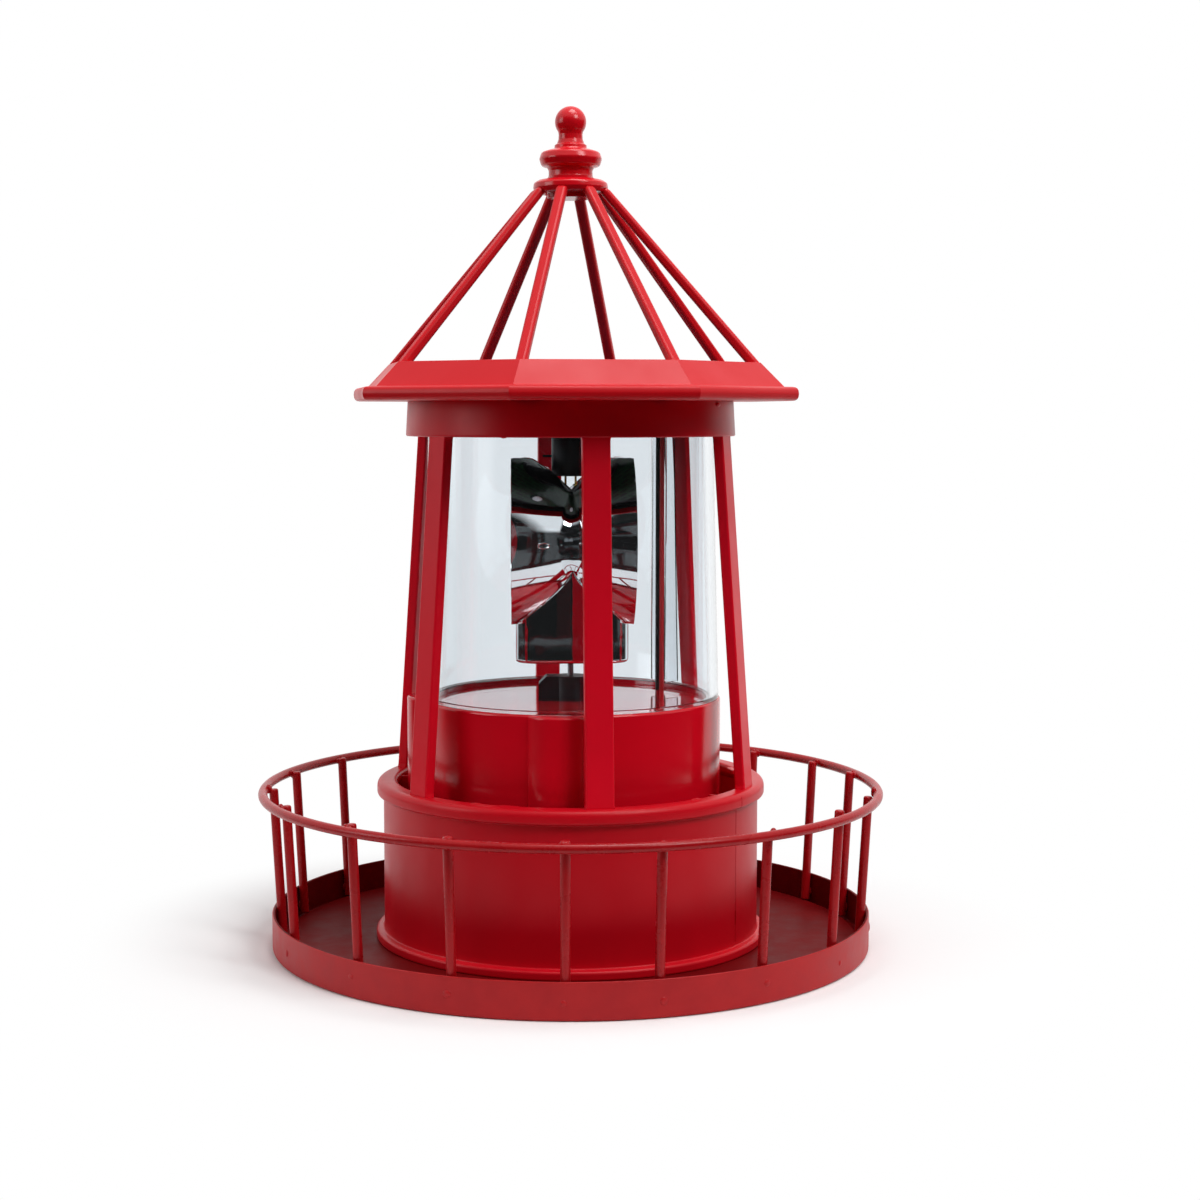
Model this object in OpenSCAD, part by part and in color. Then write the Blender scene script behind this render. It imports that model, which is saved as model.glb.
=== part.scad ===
// Solar garden lighthouse: a plastic lantern tower with a turning mirror, standing
// in a sheet-steel gallery tray with a wire railing.
// +Z is up, the origin is the middle of the tray's foot, angles are counted
// from the front (-Y) towards the right (+X).

/* [Gallery tray] */
// Outside diameter of the tray
tray_d = 150; // [140:1:170]
// Height of the tray's wall
tray_h = 8.9; // [7:0.1:14]
// Thickness of the sheet steel
sheet_t = 0.8; // [0.6:0.1:1.2]
// Height of the floor's upper face above the ground
floor_z = 2; // [1.6:0.1:3]
// Width of the pressed foot along the edge
foot_w = 1.8; // [1.4:0.1:3]

/* [Railing] */
// Diameter of the rail and baluster wire
wire_d = 2.3; // [1.6:0.1:3]
// Height of the rail's middle
rail_z = 38.9; // [32:0.1:50]
// How far the rail's middle stands outside the tray's wall
rail_out = 1.95; // [1.2:0.05:3]
// How far the balusters stand above the rail's middle
baluster_over = 2.3; // [1.6:0.1:4]
// Number of balusters
baluster_n = 18; // [12:1:24]
// Direction of the first baluster
baluster_first = -9.4; // [-20:0.1:20]

/* [Drum] */
// Outside radius of the drum's wall
drum_r = 47; // [44:0.1:50]
// Thickness of the drum's wall
drum_t = 1.6; // [1.2:0.1:1.8]
// Height of the drum's top above the ground
drum_top = 41.8; // [38:0.1:48]
// Thickness of the rounded rim at the drum's top
rim_t = 3.6; // [2.6:0.1:5]
// How far the rim stands outside the wall
rim_out = 1.6; // [1:0.1:2.4]
// How far the rim reaches inside the wall's outer face
rim_in = 3.4; // [3:0.1:3.6]
// Height of the bead along the drum's foot
bead_h = 2.2; // [1.6:0.1:3]
// How far the bead stands outside the wall
bead_out = 2; // [1:0.1:3]
// Thickness of the ledge inside the foot
ledge_t = 1.8; // [1.4:0.1:2.4]
// How far the ledge reaches inside the wall
ledge_w = 4; // [3.6:0.1:4.2]

/* [Posts and band] */
// Number of window posts
post_n = 6; // [6:1:6]
// Width of a post
post_w = 6.6; // [5:0.1:8]
// Depth of a post
post_depth = 2.6; // [2:0.1:3]
// How far a post's foot stands inside the drum's outer face
post_inset = 0.2; // [0:0.1:0.6]
// Outside radius of the band at its lower edge
band_r = 40.9; // [40.4:0.1:42]
// Height of the band's lower edge above the ground
band_z = 127.3; // [120:0.1:132]
// Height of the band
band_h = 8.6; // [8:0.1:12]
// Thickness of the band's wall
band_t = 1.9; // [1.6:0.1:2.1]

/* [Roof] */
// Radius of the roof's edge, across the corners
eave_r = 57; // [55:0.1:62]
// Thickness of the rounded edge
eave_t = 3.7; // [3:0.1:5]
// Height of the whole skirt, edge and slope
skirt_h = 10.2; // [8:0.1:14]
// Thickness of the brim and of the sloping wall
brim_t = 1.6; // [1.2:0.1:2]
// Rise of the rib cage above the skirt
cage_h = 41; // [34:0.1:50]
// Distance of the sloping wall's foot inside the edge
skirt_set = 4.5; // [4:0.1:6]
// Width of a roof rib
rib_w = 2.7; // [2.2:0.1:4]
// Horizontal thickness of a roof rib
rib_t = 3.1; // [2.4:0.1:3.4]

/* [Finial] */
// Radius of the hub that the ribs meet
hub_r = 9.7; // [9:0.1:11]
// Height of the hub
hub_h = 3.6; // [3:0.1:5]
// Radius of the disc below the hub
hub_disc_r = 7.1; // [5:0.1:7.2]
// Depth of the disc below the hub
hub_disc_h = 1.6; // [1:0.1:2.4]
// Radius of the lower neck
neck_r = 5.8; // [4.6:0.1:6.2]
// Height of the lower neck
neck_h = 2.3; // [1.8:0.1:4]
// Radius of the collar
collar_r = 7.8; // [7:0.1:9]
// Height of the collar
collar_h = 4.9; // [4:0.1:6.5]
// Radius of the upper neck
top_neck_r = 3.2; // [2.4:0.1:3.4]
// Height of the upper neck
top_neck_h = 2.9; // [2:0.1:4]
// Radius of the ball
ball_r = 3.95; // [3.6:0.05:5]

/* [Lamp cup] */
// Clear room between the drum's wall and the cup
cup_clear = 7.9; // [7.4:0.1:8]
// Thickness of the cup's wall
cup_t = 1.3; // [1.1:0.1:1.4]
// Height of the cup's rim above the ground
cup_top = 62.3; // [61.6:0.1:68]
// Thickness of the cup's flange
cup_flange_t = 1.6; // [1.4:0.1:2]
// Clear room between the drum's wall and a battery bulge
well_clear = 4.35; // [4.2:0.05:4.6]
// Directions of the two battery wells
well_dirs = [-12.5, -98.5];
// Thickness of the seat that carries the floor disc
seat_t = 1.5; // [1.2:0.1:2]
// How far the seat reaches in from the cup's wall
seat_w = 3.6; // [3:0.1:4]

/* [Clear cylinder] */
// How far the cylinder's foot stands inside the cup's rim
glass_set = 0.4; // [0.2:0.1:0.8]
// Gap between the cylinder's top and the solar housing's collar
glass_gap = 1.2; // [0.6:0.1:1.6]
// Thickness of the cylinder's wall
glass_t = 2; // [1.4:0.1:2.1]
// Depth of the cylinder's foot inside the cup
spigot_h = 2.5; // [2:0.1:3]
// Direction of the wire duct
duct_dir = 121.5; // [110:0.5:130]
// Clear width of the wire duct
duct_w = 4.2; // [3.8:0.1:6]
// Thickness of a duct rib
duct_t = 0.9; // [0.7:0.1:1.4]

/* [Mirror] */
// Radius of the mirror at its waist
mirror_waist = 15.55; // [15:0.05:17]
// Radius of the mirror's two open ends
mirror_end = 24.2; // [23:0.1:25]
// Distance of each open end from the axis
mirror_half = 14.9; // [14:0.1:16]
// Height of the mirror's flat top above its middle
mirror_flat = 22; // [21:0.1:22.4]
// Depth of the mirror's flat bottom below its middle
mirror_cut = 19; // [18:0.1:20]
// Height of the mirror's middle above the floor disc
mirror_up = 38.7; // [38:0.1:39.5]
// Thickness of the mirror's wall
mirror_t = 1.2; // [0.9:0.1:1.6]
// Outside radius of the round skirt below the bowls
mirror_skirt_r = 14; // [12:0.05:14.5]
// Height of the skirt's lower edge above the floor disc
mirror_low = 10.4; // [9:0.1:11]
// Radius of the opening for the lamp at the top
mirror_hole_r = 5.9; // [5.8:0.1:7]
// Radius of the hub inside the skirt
mirror_hub_r = 2.6; // [2:0.1:4]
// Height of the hub inside the skirt
mirror_hub_h = 6.5; // [4:0.1:7]
// Direction that the mirror's right end faces at rest
mirror_dir = 83.8; // [0:0.1:180]

/* [Drive] */
// Radius of the shaft
shaft_r = 0.75; // [0.6:0.05:1]
// Radius of the motor's can
motor_r = 10.2; // [8:0.1:11]
// Height of the motor's can
motor_h = 12; // [9:0.1:14]
// Thickness of the floor disc
disc_t = 1.5; // [1.2:0.1:2]
// Radius of the bearing block's round part
bearing_r = 4.3; // [3.4:0.1:5]
// Height of the bearing block
bearing_h = 6.1; // [5:0.1:7]
// Length of the bearing block across its cheeks
bearing_l = 16; // [13:0.1:20]
// Width of the bearing block
bearing_w = 6.4; // [5:0.1:8]

/* [Light] */
// Radius of the lamp holder
holder_r = 4.75; // [4:0.05:5]
// Length of the lamp holder
holder_h = 11.8; // [10:0.1:14]
// Radius of the light-emitting diode
led_r = 2.5; // [2.4:0.1:3]
// Height of the diode above the mirror's middle
led_z = 0; // [-2:0.1:2]
// Radius of the circuit board
board_r = 26; // [24:0.1:27]
// Thickness of the circuit board
board_t = 1.6; // [1:0.1:2]

/* [Solar housing] */
// Gap between the solar housing's rim and the sloping wall
dish_gap = 2.1; // [1:0.1:2.6]
// Thickness of the flange and of the housing's floor
flange_t = 1.4; // [1.2:0.1:2]
// Height of the rim round the panel
dish_h = 2.2; // [1.8:0.1:3]
// Depth of the housing's collar below the brim
collar_drop = 5.2; // [4:0.1:5.4]
// Height of the housing's floor above the band's top edge
deck_drop = 0.9; // [0.6:0.1:1.4]
// Thickness of the solar panel
panel_t = 1.6; // [1:0.1:2]
// Number of cells on the panel
cell_n = 8; // [4:2:12]

/* [Battery and base] */
// Radius of a standard AA cell
cell_r = 7.25; // [7.25:0.05:7.25]
// Length of a standard AA cell with its tip
cell_l = 50.5; // [50.5:0.1:50.5]
// Thickness of the base cover and battery door
cover_t = 1.6; // [1.4:0.1:2]
// Thickness of the contact plates
contact_t = 0.4; // [0.3:0.1:0.5]
// Wire thickness of the contact springs
spring_wire = 0.5; // [0.4:0.1:0.6]
// Travel of the switch
switch_travel = 3; // [2:0.1:3]

/* [Wires and screws] */
// Diameter of the lamp's wires
lead_d = 1.3; // [1:0.1:1.5]
// Radius of a screw's thread
screw_r = 1.1; // [0.9:0.05:1.2]
// Radius of a screw's head
screw_head_r = 2.1; // [1.8:0.05:2.2]
// Height of a screw's head
screw_head_h = 1.1; // [0.9:0.05:1.1]
// Length of the screws of the cover and of the battery door
screw_l = 7; // [5:0.5:8]
// Depth left free below a screw's tip
screw_free = 1.6; // [1:0.1:2]

/* [Fits] */
// Gap between the running shaft and its bearings
shaft_gap = 0.05; // [0.03:0.01:0.08]
// Gap between pieces that slide into each other
slip_gap = 0.2; // [0.1:0.05:0.3]
// Gap between wires that are welded to each other
weld_gap = 0.1; // [0.05:0.05:0.2]
// Gap round a screw
screw_gap = 0.1; // [0.05:0.05:0.2]
// Gap round covers and the switch
cover_gap = 0.3; // [0.2:0.05:0.3]

/* [Hidden] */
$fn = 96;
eps = 0.01;

// Small turns that hand welding left in the balusters' even spacing
baluster_drift = [0, -3.4, -2.6, -1.7, 4.9, 3.9, 0, -2.1, 0, 0, 0, -1, -2.7, -4.7, -6.1, -4,
                  -0.8, -0.4];

wire_r = wire_d / 2;
tray_r = tray_d / 2;
floor_under = floor_z - sheet_t;
rail_r = tray_r + rail_out;
baluster_wall_r = tray_r - sheet_t - wire_r - weld_gap;
baluster_rail_r = rail_r - wire_d - weld_gap;
baluster_foot_z = floor_z + weld_gap;
baluster_lean = (baluster_rail_r - baluster_wall_r) / (rail_z - tray_h);
baluster_foot_r = baluster_wall_r - baluster_lean * (tray_h - baluster_foot_z);

drum_in = drum_r - drum_t;
rim_z = drum_top - rim_t;
rim_inner_r = drum_r - rim_in;
ledge_in = drum_in - ledge_w;
ledge_step = 0.2;
access_r = ledge_in - ledge_step;
ledge_z = floor_z + cup_flange_t;
ledge_top = ledge_z + ledge_t;

post_foot_r = drum_r - post_inset;
post_top_r = band_r - 0.3;
band_top = band_z + band_h;
band_in = band_r - band_t;
band_lean = 0.5;

brim_z = band_top;
brim_top = brim_z + brim_t;
eave_top = brim_z + eave_t;
skirt_top = brim_z + skirt_h;
rib_over = 0.8;
rib_top_r = hub_r + rib_over;
skirt_foot_r = eave_r - skirt_set;
slope = (skirt_foot_r - rib_top_r) / (cage_h + skirt_h - eave_t);
skirt_top_r = skirt_foot_r - slope * (skirt_h - eave_t);
brim_hole_r = band_in - 0.3;
skirt_wall = 2.3;
cage_top = skirt_top + cage_h;

hub_z = cage_top;
neck_z = hub_z + hub_h;
collar_z = neck_z + neck_h;
top_neck_z = collar_z + collar_h;
ball_sink = 0.6;
ball_z = top_neck_z + top_neck_h + ball_r - ball_sink;

cup_z = floor_z;
cup_r = drum_in - cup_clear;
cup_in = cup_r - cup_t;
bore_step = 0.8;
bore_in = cup_in - bore_step;
bulge_t = 1.2;
well_r = cell_r + slip_gap;
bulge_r = well_r + bulge_t;
well_at = drum_in - well_clear - bulge_r;
wedge_r = 2 * cup_r;
tube_up = 3.6;
tube_low = cup_z + tube_up;
tab_w = 3;
tab_room = 1;
tab_slot_w = tab_w + tab_room;
tab_in = 2.2;
tab_r = well_at - bulge_r - tab_in;
tab_over = 1.3;
tab_end_r = tab_r - tab_over;
seat_top = cup_top - spigot_h;
seat_z = seat_top - seat_t;
cover_z = cup_z;
cover_top = cover_z + cover_t;
flange_gap = 0.5;
cup_flange_r = drum_in - flange_gap;
fix_in = 2.2;
fix_at = drum_in - fix_in;
fix_dirs = [-55, 65, 185];
fix_boss_h = 6.6;
fix_top = ledge_top + fix_boss_h;
fix_boss_r = 1.9;

disc_r = cup_in - glass_t - slip_gap * 2;
disc_top = seat_top + disc_t;
spigot_r = cup_in - slip_gap;
glass_r = cup_r - glass_set;
glass_z = cup_top;

housing_r = brim_hole_r - slip_gap;
collar_t = 2;
housing_in = housing_r - collar_t;
glass_top_r = housing_in - glass_gap;
deck_z = band_top - deck_drop;
deck_top = deck_z + flange_t;
glass_top = deck_z;
dish_top = brim_top + dish_h + flange_t;
panel_z = brim_top + flange_t;
dish_wall = 1.4;
flange_r = (skirt_foot_r - slope * (dish_top - eave_top) - skirt_wall) * cos(22.5) - dish_gap;
panel_r = flange_r - dish_wall - slip_gap;

board_gap = 4.2;
board_fix_at = 20;
board_fix_dirs = [20, 140, 260];
board_top = deck_z - board_gap;
board_z = board_top - board_t;
holder_low = board_z - holder_h;

mirror_mid = disc_top + mirror_up;
mirror_foot = disc_top + mirror_low;
shaft_low = seat_top - motor_h + 2;
shaft_top = mirror_foot + mirror_t + mirror_hub_h - 0.6;

contact_z = seat_z - contact_t;
cell_top = contact_z;
cell_z = cell_top - cell_l;
link_z = cover_top;
spring_z = link_z + contact_t;

duct_room = 2.5;
duct_set = 3;
duct_lip = 0.6;
duct_at = min(glass_top_r - glass_t - duct_room, disc_r - duct_set);
door_w = 8;
door_in_r = bore_in - door_w;
switch_x = 0;
switch_y = 8;
knob_l = 2.4;
knob_w = 2;
knob_in = 1.3;
slot_l = knob_l + switch_travel + 2 * cover_gap;
slot_w = knob_w + 2 * cover_gap;
door_screw_at = bore_in - 2.2;
door_screw_dir = (well_dirs[0] + well_dirs[1]) / 2;
cover_screw_at = bore_in - 3.6;
cover_screw_dirs = [70, 170];
boss_r = 2.6;
boss_h = 8;

// Point at a distance and a direction from the axis
function at(r, dir, z = 0) = [r * sin(dir), -r * cos(dir), z];
function at2(r, dir) = [r * sin(dir), -r * cos(dir)];
// Places children at a distance and a direction from the axis, facing outwards along +X
module place(r, dir, z = 0) {
    translate(at(r, dir, z)) rotate([0, 0, dir - 90]) children();
}
module ring(r_out, r_in, h, z = 0) {
    translate([0, 0, z]) difference() {
        cylinder(r = r_out, h = h);
        translate([0, 0, -eps]) cylinder(r = r_in, h = h + 2 * eps);
    }
}
// Points along an arc of a circle, from one angle to the next
function arc(c, r, a0, a1, n) = [for (i = [0:n]) c + r * [cos(a0 + (a1 - a0) * i / n),
                                                        sin(a0 + (a1 - a0) * i / n)]];
function mirror_r(x) = sqrt(pow(mirror_waist, 2)
    + (pow(mirror_end, 2) - pow(mirror_waist, 2)) * abs(x) / mirror_half);

// ---------------------------------------------------------------- tray and railing
module tray_profile() {
    inner = tray_r - sheet_t;
    bend = 0.7;
    polygon(concat([[access_r, floor_under], [inner - foot_w - bend, floor_under],
                    [inner - foot_w, 0], [tray_r - bend, 0]],
                   arc([tray_r - bend, bend], bend, -90, 0, 4),
                   [[tray_r, tray_h], [inner, tray_h], [inner, sheet_t],
                    [inner - foot_w + bend / 2, sheet_t], [inner - foot_w - bend / 2, floor_z],
                    [access_r, floor_z]]));
}
module gallery_tray() {
    color([0.55, 0.1, 0.12]) difference() {
        rotate_extrude() tray_profile();
        for (dir = fix_dirs)
            place(fix_at, dir, -eps) cylinder(r = screw_r + 0.3, h = floor_z + 1, $fn = 32);
    }
}
module rail_ring() {
    color([0.55, 0.1, 0.12]) rotate_extrude()
        translate([rail_r, rail_z]) circle(r = wire_r, $fn = 24);
}
module baluster(dir) {
    lean = atan(baluster_lean);
    length = (rail_z - baluster_foot_z + baluster_over) / cos(lean);
    place(baluster_foot_r, dir, baluster_foot_z + wire_r * sin(lean))
        rotate([0, lean, 0]) cylinder(r = wire_r, h = length, $fn = 24);
}
module rail_balusters() {
    color([0.55, 0.1, 0.12]) for (k = [0:baluster_n - 1])
        baluster(baluster_first + k * 360 / baluster_n + baluster_drift[k % len(baluster_drift)]);
}

// ---------------------------------------------------------------- tower
module drum_profile() {
    rim_half = rim_t / 2;
    bead_half = bead_h / 2;
    polygon(concat([[drum_in, floor_z], [drum_r, floor_z]],
                   arc([drum_r + bead_out - bead_half, floor_z + bead_half], bead_half, -90, 90, 8),
                   [[drum_r, floor_z + bead_h], [drum_r, rim_z]],
                   arc([drum_r + rim_out - rim_half, rim_z + rim_half], rim_half, -90, 90, 10),
                   [[rim_inner_r, drum_top], [rim_inner_r, rim_z + rim_half],
                    [drum_in, rim_z], [drum_in, ledge_top], [ledge_in, ledge_top],
                    [ledge_in, ledge_z], [drum_in, ledge_z]]));
}
module drum() {
    web_dirs = [-107, 49.5];
    web_t = 1.2;
    web_h = 5;
    web_room = 2.3;
    web_in = cup_r + web_room;
    tab_dirs = [-28, 97];
    tab_size = [2, 6, 1.2];
    color([0.78, 0.1, 0.14]) difference() {
        union() {
            rotate_extrude() drum_profile();
            for (dir = web_dirs)
                place(web_in, dir, drum_top - web_h - 1) translate([0, -web_t / 2, 0])
                    cube([drum_in - web_in + eps, web_t, web_h]);
            for (dir = tab_dirs)
                place(rim_inner_r - tab_size[0], dir, drum_top - tab_size[2] - 0.4)
                    translate([0, -tab_size[1] / 2, 0]) cube([tab_size[0] + 1, tab_size[1], tab_size[2]]);
            for (dir = fix_dirs)
                place(fix_at, dir, ledge_top - eps) cylinder(r = fix_boss_r, h = fix_top - ledge_top);
        }
        for (dir = fix_dirs)
            place(fix_at, dir, ledge_z - eps)
                cylinder(r = screw_r + screw_gap, h = fix_top - ledge_z - 1, $fn = 32);
    }
}
module window_posts() {
    color([0.78, 0.1, 0.14]) for (k = [0:post_n - 1])
        rotate([0, 0, k * 360 / post_n - 90]) rotate([90, 0, 0])
            translate([0, 0, -post_w / 2]) linear_extrude(height = post_w)
                polygon([[post_foot_r - post_depth, drum_top], [post_foot_r, drum_top],
                         [post_top_r, band_z], [post_top_r - post_depth, band_z]]);
}
module top_band() {
    color([0.7, 0.06, 0.1]) rotate_extrude()
        polygon([[band_in, band_z], [band_r, band_z], [band_r - band_lean, band_top],
                 [band_in, band_top]]);
}

// ---------------------------------------------------------------- roof
module roof_skirt() {
    edge = eave_t / 2;
    core_r = brim_hole_r - 3;
    color([0.82, 0.16, 0.2]) difference() {
        rotate([0, 0, 22.5]) rotate_extrude($fn = 8)
            polygon(concat([[core_r, brim_z], [eave_r - edge, brim_z]],
                           arc([eave_r - edge, brim_z + edge], edge, -60, 60, 4),
                           [[eave_r - edge, eave_top], [skirt_foot_r, eave_top],
                            [skirt_top_r, skirt_top], [skirt_top_r - skirt_wall, skirt_top],
                            [skirt_foot_r - skirt_wall, eave_top], [skirt_foot_r - skirt_wall, brim_top],
                            [core_r, brim_top]]));
        translate([0, 0, brim_z - 1]) cylinder(r = brim_hole_r, h = brim_t + 2);
    }
}
module roof_ribs() {
    color([0.8, 0.14, 0.18]) for (k = [0:7])
        rotate([0, 0, 22.5 + k * 45]) rotate([90, 0, 0])
            translate([0, 0, -rib_w / 2]) linear_extrude(height = rib_w)
                polygon([[skirt_top_r - rib_t, skirt_top], [skirt_top_r, skirt_top],
                         [rib_top_r, cage_top], [rib_top_r - rib_t, cage_top]]);
}
module finial() {
    round_h = 2.4;
    lip = 0.7;
    collar_mid = collar_z + collar_h * 0.42;
    color([0.78, 0.1, 0.14]) union() {
        rotate_extrude() polygon(concat(
            [[0, hub_z - hub_disc_h], [hub_disc_r, hub_z - hub_disc_h], [hub_disc_r, hub_z],
             [hub_r - 0.3, hub_z]],
            [for (i = [0:8]) [hub_r - (hub_r - neck_r - lip) * (1 - cos(i * 90 / 8)),
                              hub_z + hub_h - round_h + round_h * sin(i * 90 / 8)]],
            [for (i = [0:6]) [neck_r + lip * pow(abs(i / 3 - 1), 2),
                              neck_z + neck_h * i / 6]],
            [for (i = [0:10]) [collar_r - (collar_r - 7.2) * pow(1 - i / 10, 2) * 1.2,
                               collar_z + (collar_mid - collar_z) * i / 10]],
            [for (i = [1:10]) [4.8 + (collar_r - 4.8) * cos(i * 9),
                               collar_mid + (top_neck_z - collar_mid) * sin(i * 9)]],
            [for (i = [0:8]) [top_neck_r + 1.1 * pow(1 - i / 8, 3),
                              top_neck_z + top_neck_h * i / 8]],
            [[0, top_neck_z + top_neck_h]]));
        translate([0, 0, ball_z]) sphere(r = ball_r, $fn = 64);
    }
}

// ---------------------------------------------------------------- lamp unit
module wells(r) {
    for (dir = well_dirs)
        translate([well_at * sin(dir), -well_at * cos(dir)]) circle(r = r);
}
module cup_outline() {
    union() {
        circle(r = cup_r);
        wells(bulge_r);
    }
}
// Screw boss inside the cup, held by a gusset to the wall
module cup_boss(r, dir) {
    place(r, dir, cover_top) union() {
        cylinder(r = boss_r, h = boss_h, $fn = 48);
        translate([0, -boss_r / 2, 0]) cube([bore_in - r + 1, boss_r, boss_h]);
    }
}
module cup_room() {
    difference() {
        translate([0, 0, cup_z - 1]) linear_extrude(height = seat_z - cup_z + 1) circle(r = bore_in);
        translate([0, 0, tube_low]) linear_extrude(height = seat_z - tube_low + 1) wells(bulge_r);
        for (dir = cover_screw_dirs)
            cup_boss(cover_screw_at, dir);
        cup_boss(door_screw_at, door_screw_dir);
    }
    translate([0, 0, cup_z - 1]) linear_extrude(height = seat_z - cup_z + 1) wells(well_r);
    difference() {
        translate([0, 0, seat_z - eps]) cylinder(r = bore_in - seat_w, h = seat_t + 2 * eps);
        translate([0, 0, seat_z - 1]) linear_extrude(height = seat_t + 2) wells(bulge_r);
    }
    for (dir = well_dirs)
        place(tab_r, dir, seat_z - 2) translate([0, -tab_slot_w / 2, 0])
            cube([well_at - tab_r, tab_slot_w, 2]);
}
module lamp_cup() {
    color([0.72, 0.02, 0.09]) difference() {
        union() {
            translate([0, 0, cup_z]) linear_extrude(height = cup_top - cup_z) cup_outline();
            ring(cup_flange_r, cup_in, cup_flange_t, floor_z);
        }
        translate([0, 0, seat_top]) cylinder(r = cup_in, h = spigot_h + 1);
        cup_room();
        translate([0, 0, cup_z - 1]) cylinder(r = cup_in, h = cover_t + 1);
        for (dir = cover_screw_dirs)
            place(cover_screw_at, dir, cover_top - eps)
                cylinder(r = screw_r + screw_gap, h = boss_h - 1, $fn = 32);
        place(door_screw_at, door_screw_dir, cover_top - eps)
            cylinder(r = screw_r + cover_gap, h = boss_h - 1, $fn = 32);
        for (dir = fix_dirs)
            place(fix_at, dir, floor_z - 1) cylinder(r = screw_r + cover_gap, h = cup_flange_t + 2, $fn = 32);
    }
}
module lens_cylinder() {
    step_z = cup_top + 0.6;
    rib_z = cup_top + 1;
    foot_in = spigot_r - glass_t;
    color([0.88, 0.92, 0.95, 0.35]) union() {
        rotate_extrude()
            polygon([[foot_in, seat_top], [spigot_r, seat_top], [spigot_r, cup_top],
                     [glass_r, cup_top], [glass_top_r, glass_top],
                     [glass_top_r - glass_t, glass_top], [glass_r - glass_t, step_z],
                     [foot_in, step_z]]);
        for (side = [-1, 1])
            intersection() {
                place(duct_at - duct_lip, duct_dir, rib_z)
                    translate([0, side * (duct_w + duct_t) / 2 - duct_t / 2, 0])
                        cube([glass_r, duct_t, glass_top - rib_z - 1]);
                rotate_extrude()
                    polygon([[0, step_z], [glass_r - glass_t + eps, step_z],
                             [glass_top_r - glass_t + eps, glass_top], [0, glass_top]]);
            }
    }
}
module floor_disc() {
    color([0.72, 0.02, 0.09]) difference() {
        translate([0, 0, seat_top]) cylinder(r = disc_r, h = disc_t);
        translate([0, 0, seat_top - 1]) cylinder(r = shaft_r + 0.6, h = disc_t + 2, $fn = 32);
        place(duct_at, duct_dir, seat_top - 1) cylinder(r = lead_d * 1.5, h = disc_t + 2, $fn = 32);
    }
}

// ---------------------------------------------------------------- drive
module bearing_block() {
    chamfer = 1.9;
    half = bearing_l / 2;
    color([0.06, 0.06, 0.07]) translate([0, 0, disc_top]) rotate([0, 0, -8.5]) difference() {
        union() {
            cylinder(r = bearing_r, h = bearing_h);
            difference() {
                rotate([90, 0, 0]) translate([0, 0, -bearing_w / 2]) linear_extrude(height = bearing_w)
                    polygon([[-half, 0], [half, 0], [half, bearing_h - chamfer],
                             [half - chamfer, bearing_h], [chamfer - half, bearing_h],
                             [-half, bearing_h - chamfer]]);
                translate([0, 0, bearing_h - 0.5]) cylinder(r = bearing_r + 0.2, h = 2);
            }
        }
        translate([0, 0, -1]) cylinder(r = shaft_r + shaft_gap, h = bearing_h + 2, $fn = 32);
    }
}
module motor_can() {
    rotate_lip = 1;
    color([0.75, 0.76, 0.78]) difference() {
        rotate_extrude()
            polygon([[0, seat_top - motor_h], [motor_r - rotate_lip, seat_top - motor_h],
                     [motor_r, seat_top - motor_h + rotate_lip], [motor_r, seat_top - rotate_lip],
                     [motor_r - rotate_lip, seat_top], [0, seat_top]]);
        translate([0, 0, shaft_low - 0.5]) cylinder(r = shaft_r + shaft_gap, h = motor_h, $fn = 32);
    }
}
module motor_shaft() {
    color([0.8, 0.8, 0.82]) translate([0, 0, shaft_low])
        cylinder(r = shaft_r, h = shaft_top - shaft_low, $fn = 32);
}
// The mirror's two joined bowls as a solid, smaller by a wall thickness all round
module bowls(shrink, reach) {
    steps = 8;
    intersection() {
        translate([0, 0, mirror_mid]) rotate([0, 90, 0]) rotate_extrude($fn = 72)
            polygon(concat([[0, -reach]],
                           [for (i = [-steps:steps]) let (x = i * reach / steps)
                               [mirror_r(x) - shrink, x]],
                           [[0, reach]]));
        translate([-reach - 1, -mirror_end - 1, mirror_mid - mirror_cut + shrink])
            cube([2 * reach + 2, 2 * mirror_end + 2, mirror_flat + mirror_cut - 2 * shrink]);
    }
}
module reflector() {
    edge = 1.1;
    skirt_in = mirror_skirt_r - mirror_t;
    color([0.85, 0.86, 0.88]) rotate([0, 0, mirror_dir - 90]) difference() {
        union() {
            bowls(0, mirror_half);
            rotate_extrude($fn = 72)
                polygon(concat([[0, mirror_foot]],
                               arc([mirror_skirt_r - edge, mirror_foot + edge], edge, -90, 0, 4),
                               [[mirror_skirt_r, mirror_mid], [0, mirror_mid]]));
        }
        bowls(mirror_t, mirror_half + 1);
        difference() {
            translate([0, 0, mirror_foot + mirror_t])
                cylinder(r = skirt_in, h = mirror_mid - mirror_foot - mirror_t, $fn = 72);
            bowls(0, mirror_half);
            translate([0, 0, mirror_foot])
                cylinder(r = mirror_hub_r, h = mirror_t + mirror_hub_h, $fn = 48);
        }
        translate([0, 0, mirror_foot - 1])
            cylinder(r = shaft_r + shaft_gap / 5, h = mirror_t + mirror_hub_h + 0.4, $fn = 32);
        translate([0, 0, mirror_mid]) cylinder(r = mirror_hole_r, h = mirror_end + 1, $fn = 48);
    }
}

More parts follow.
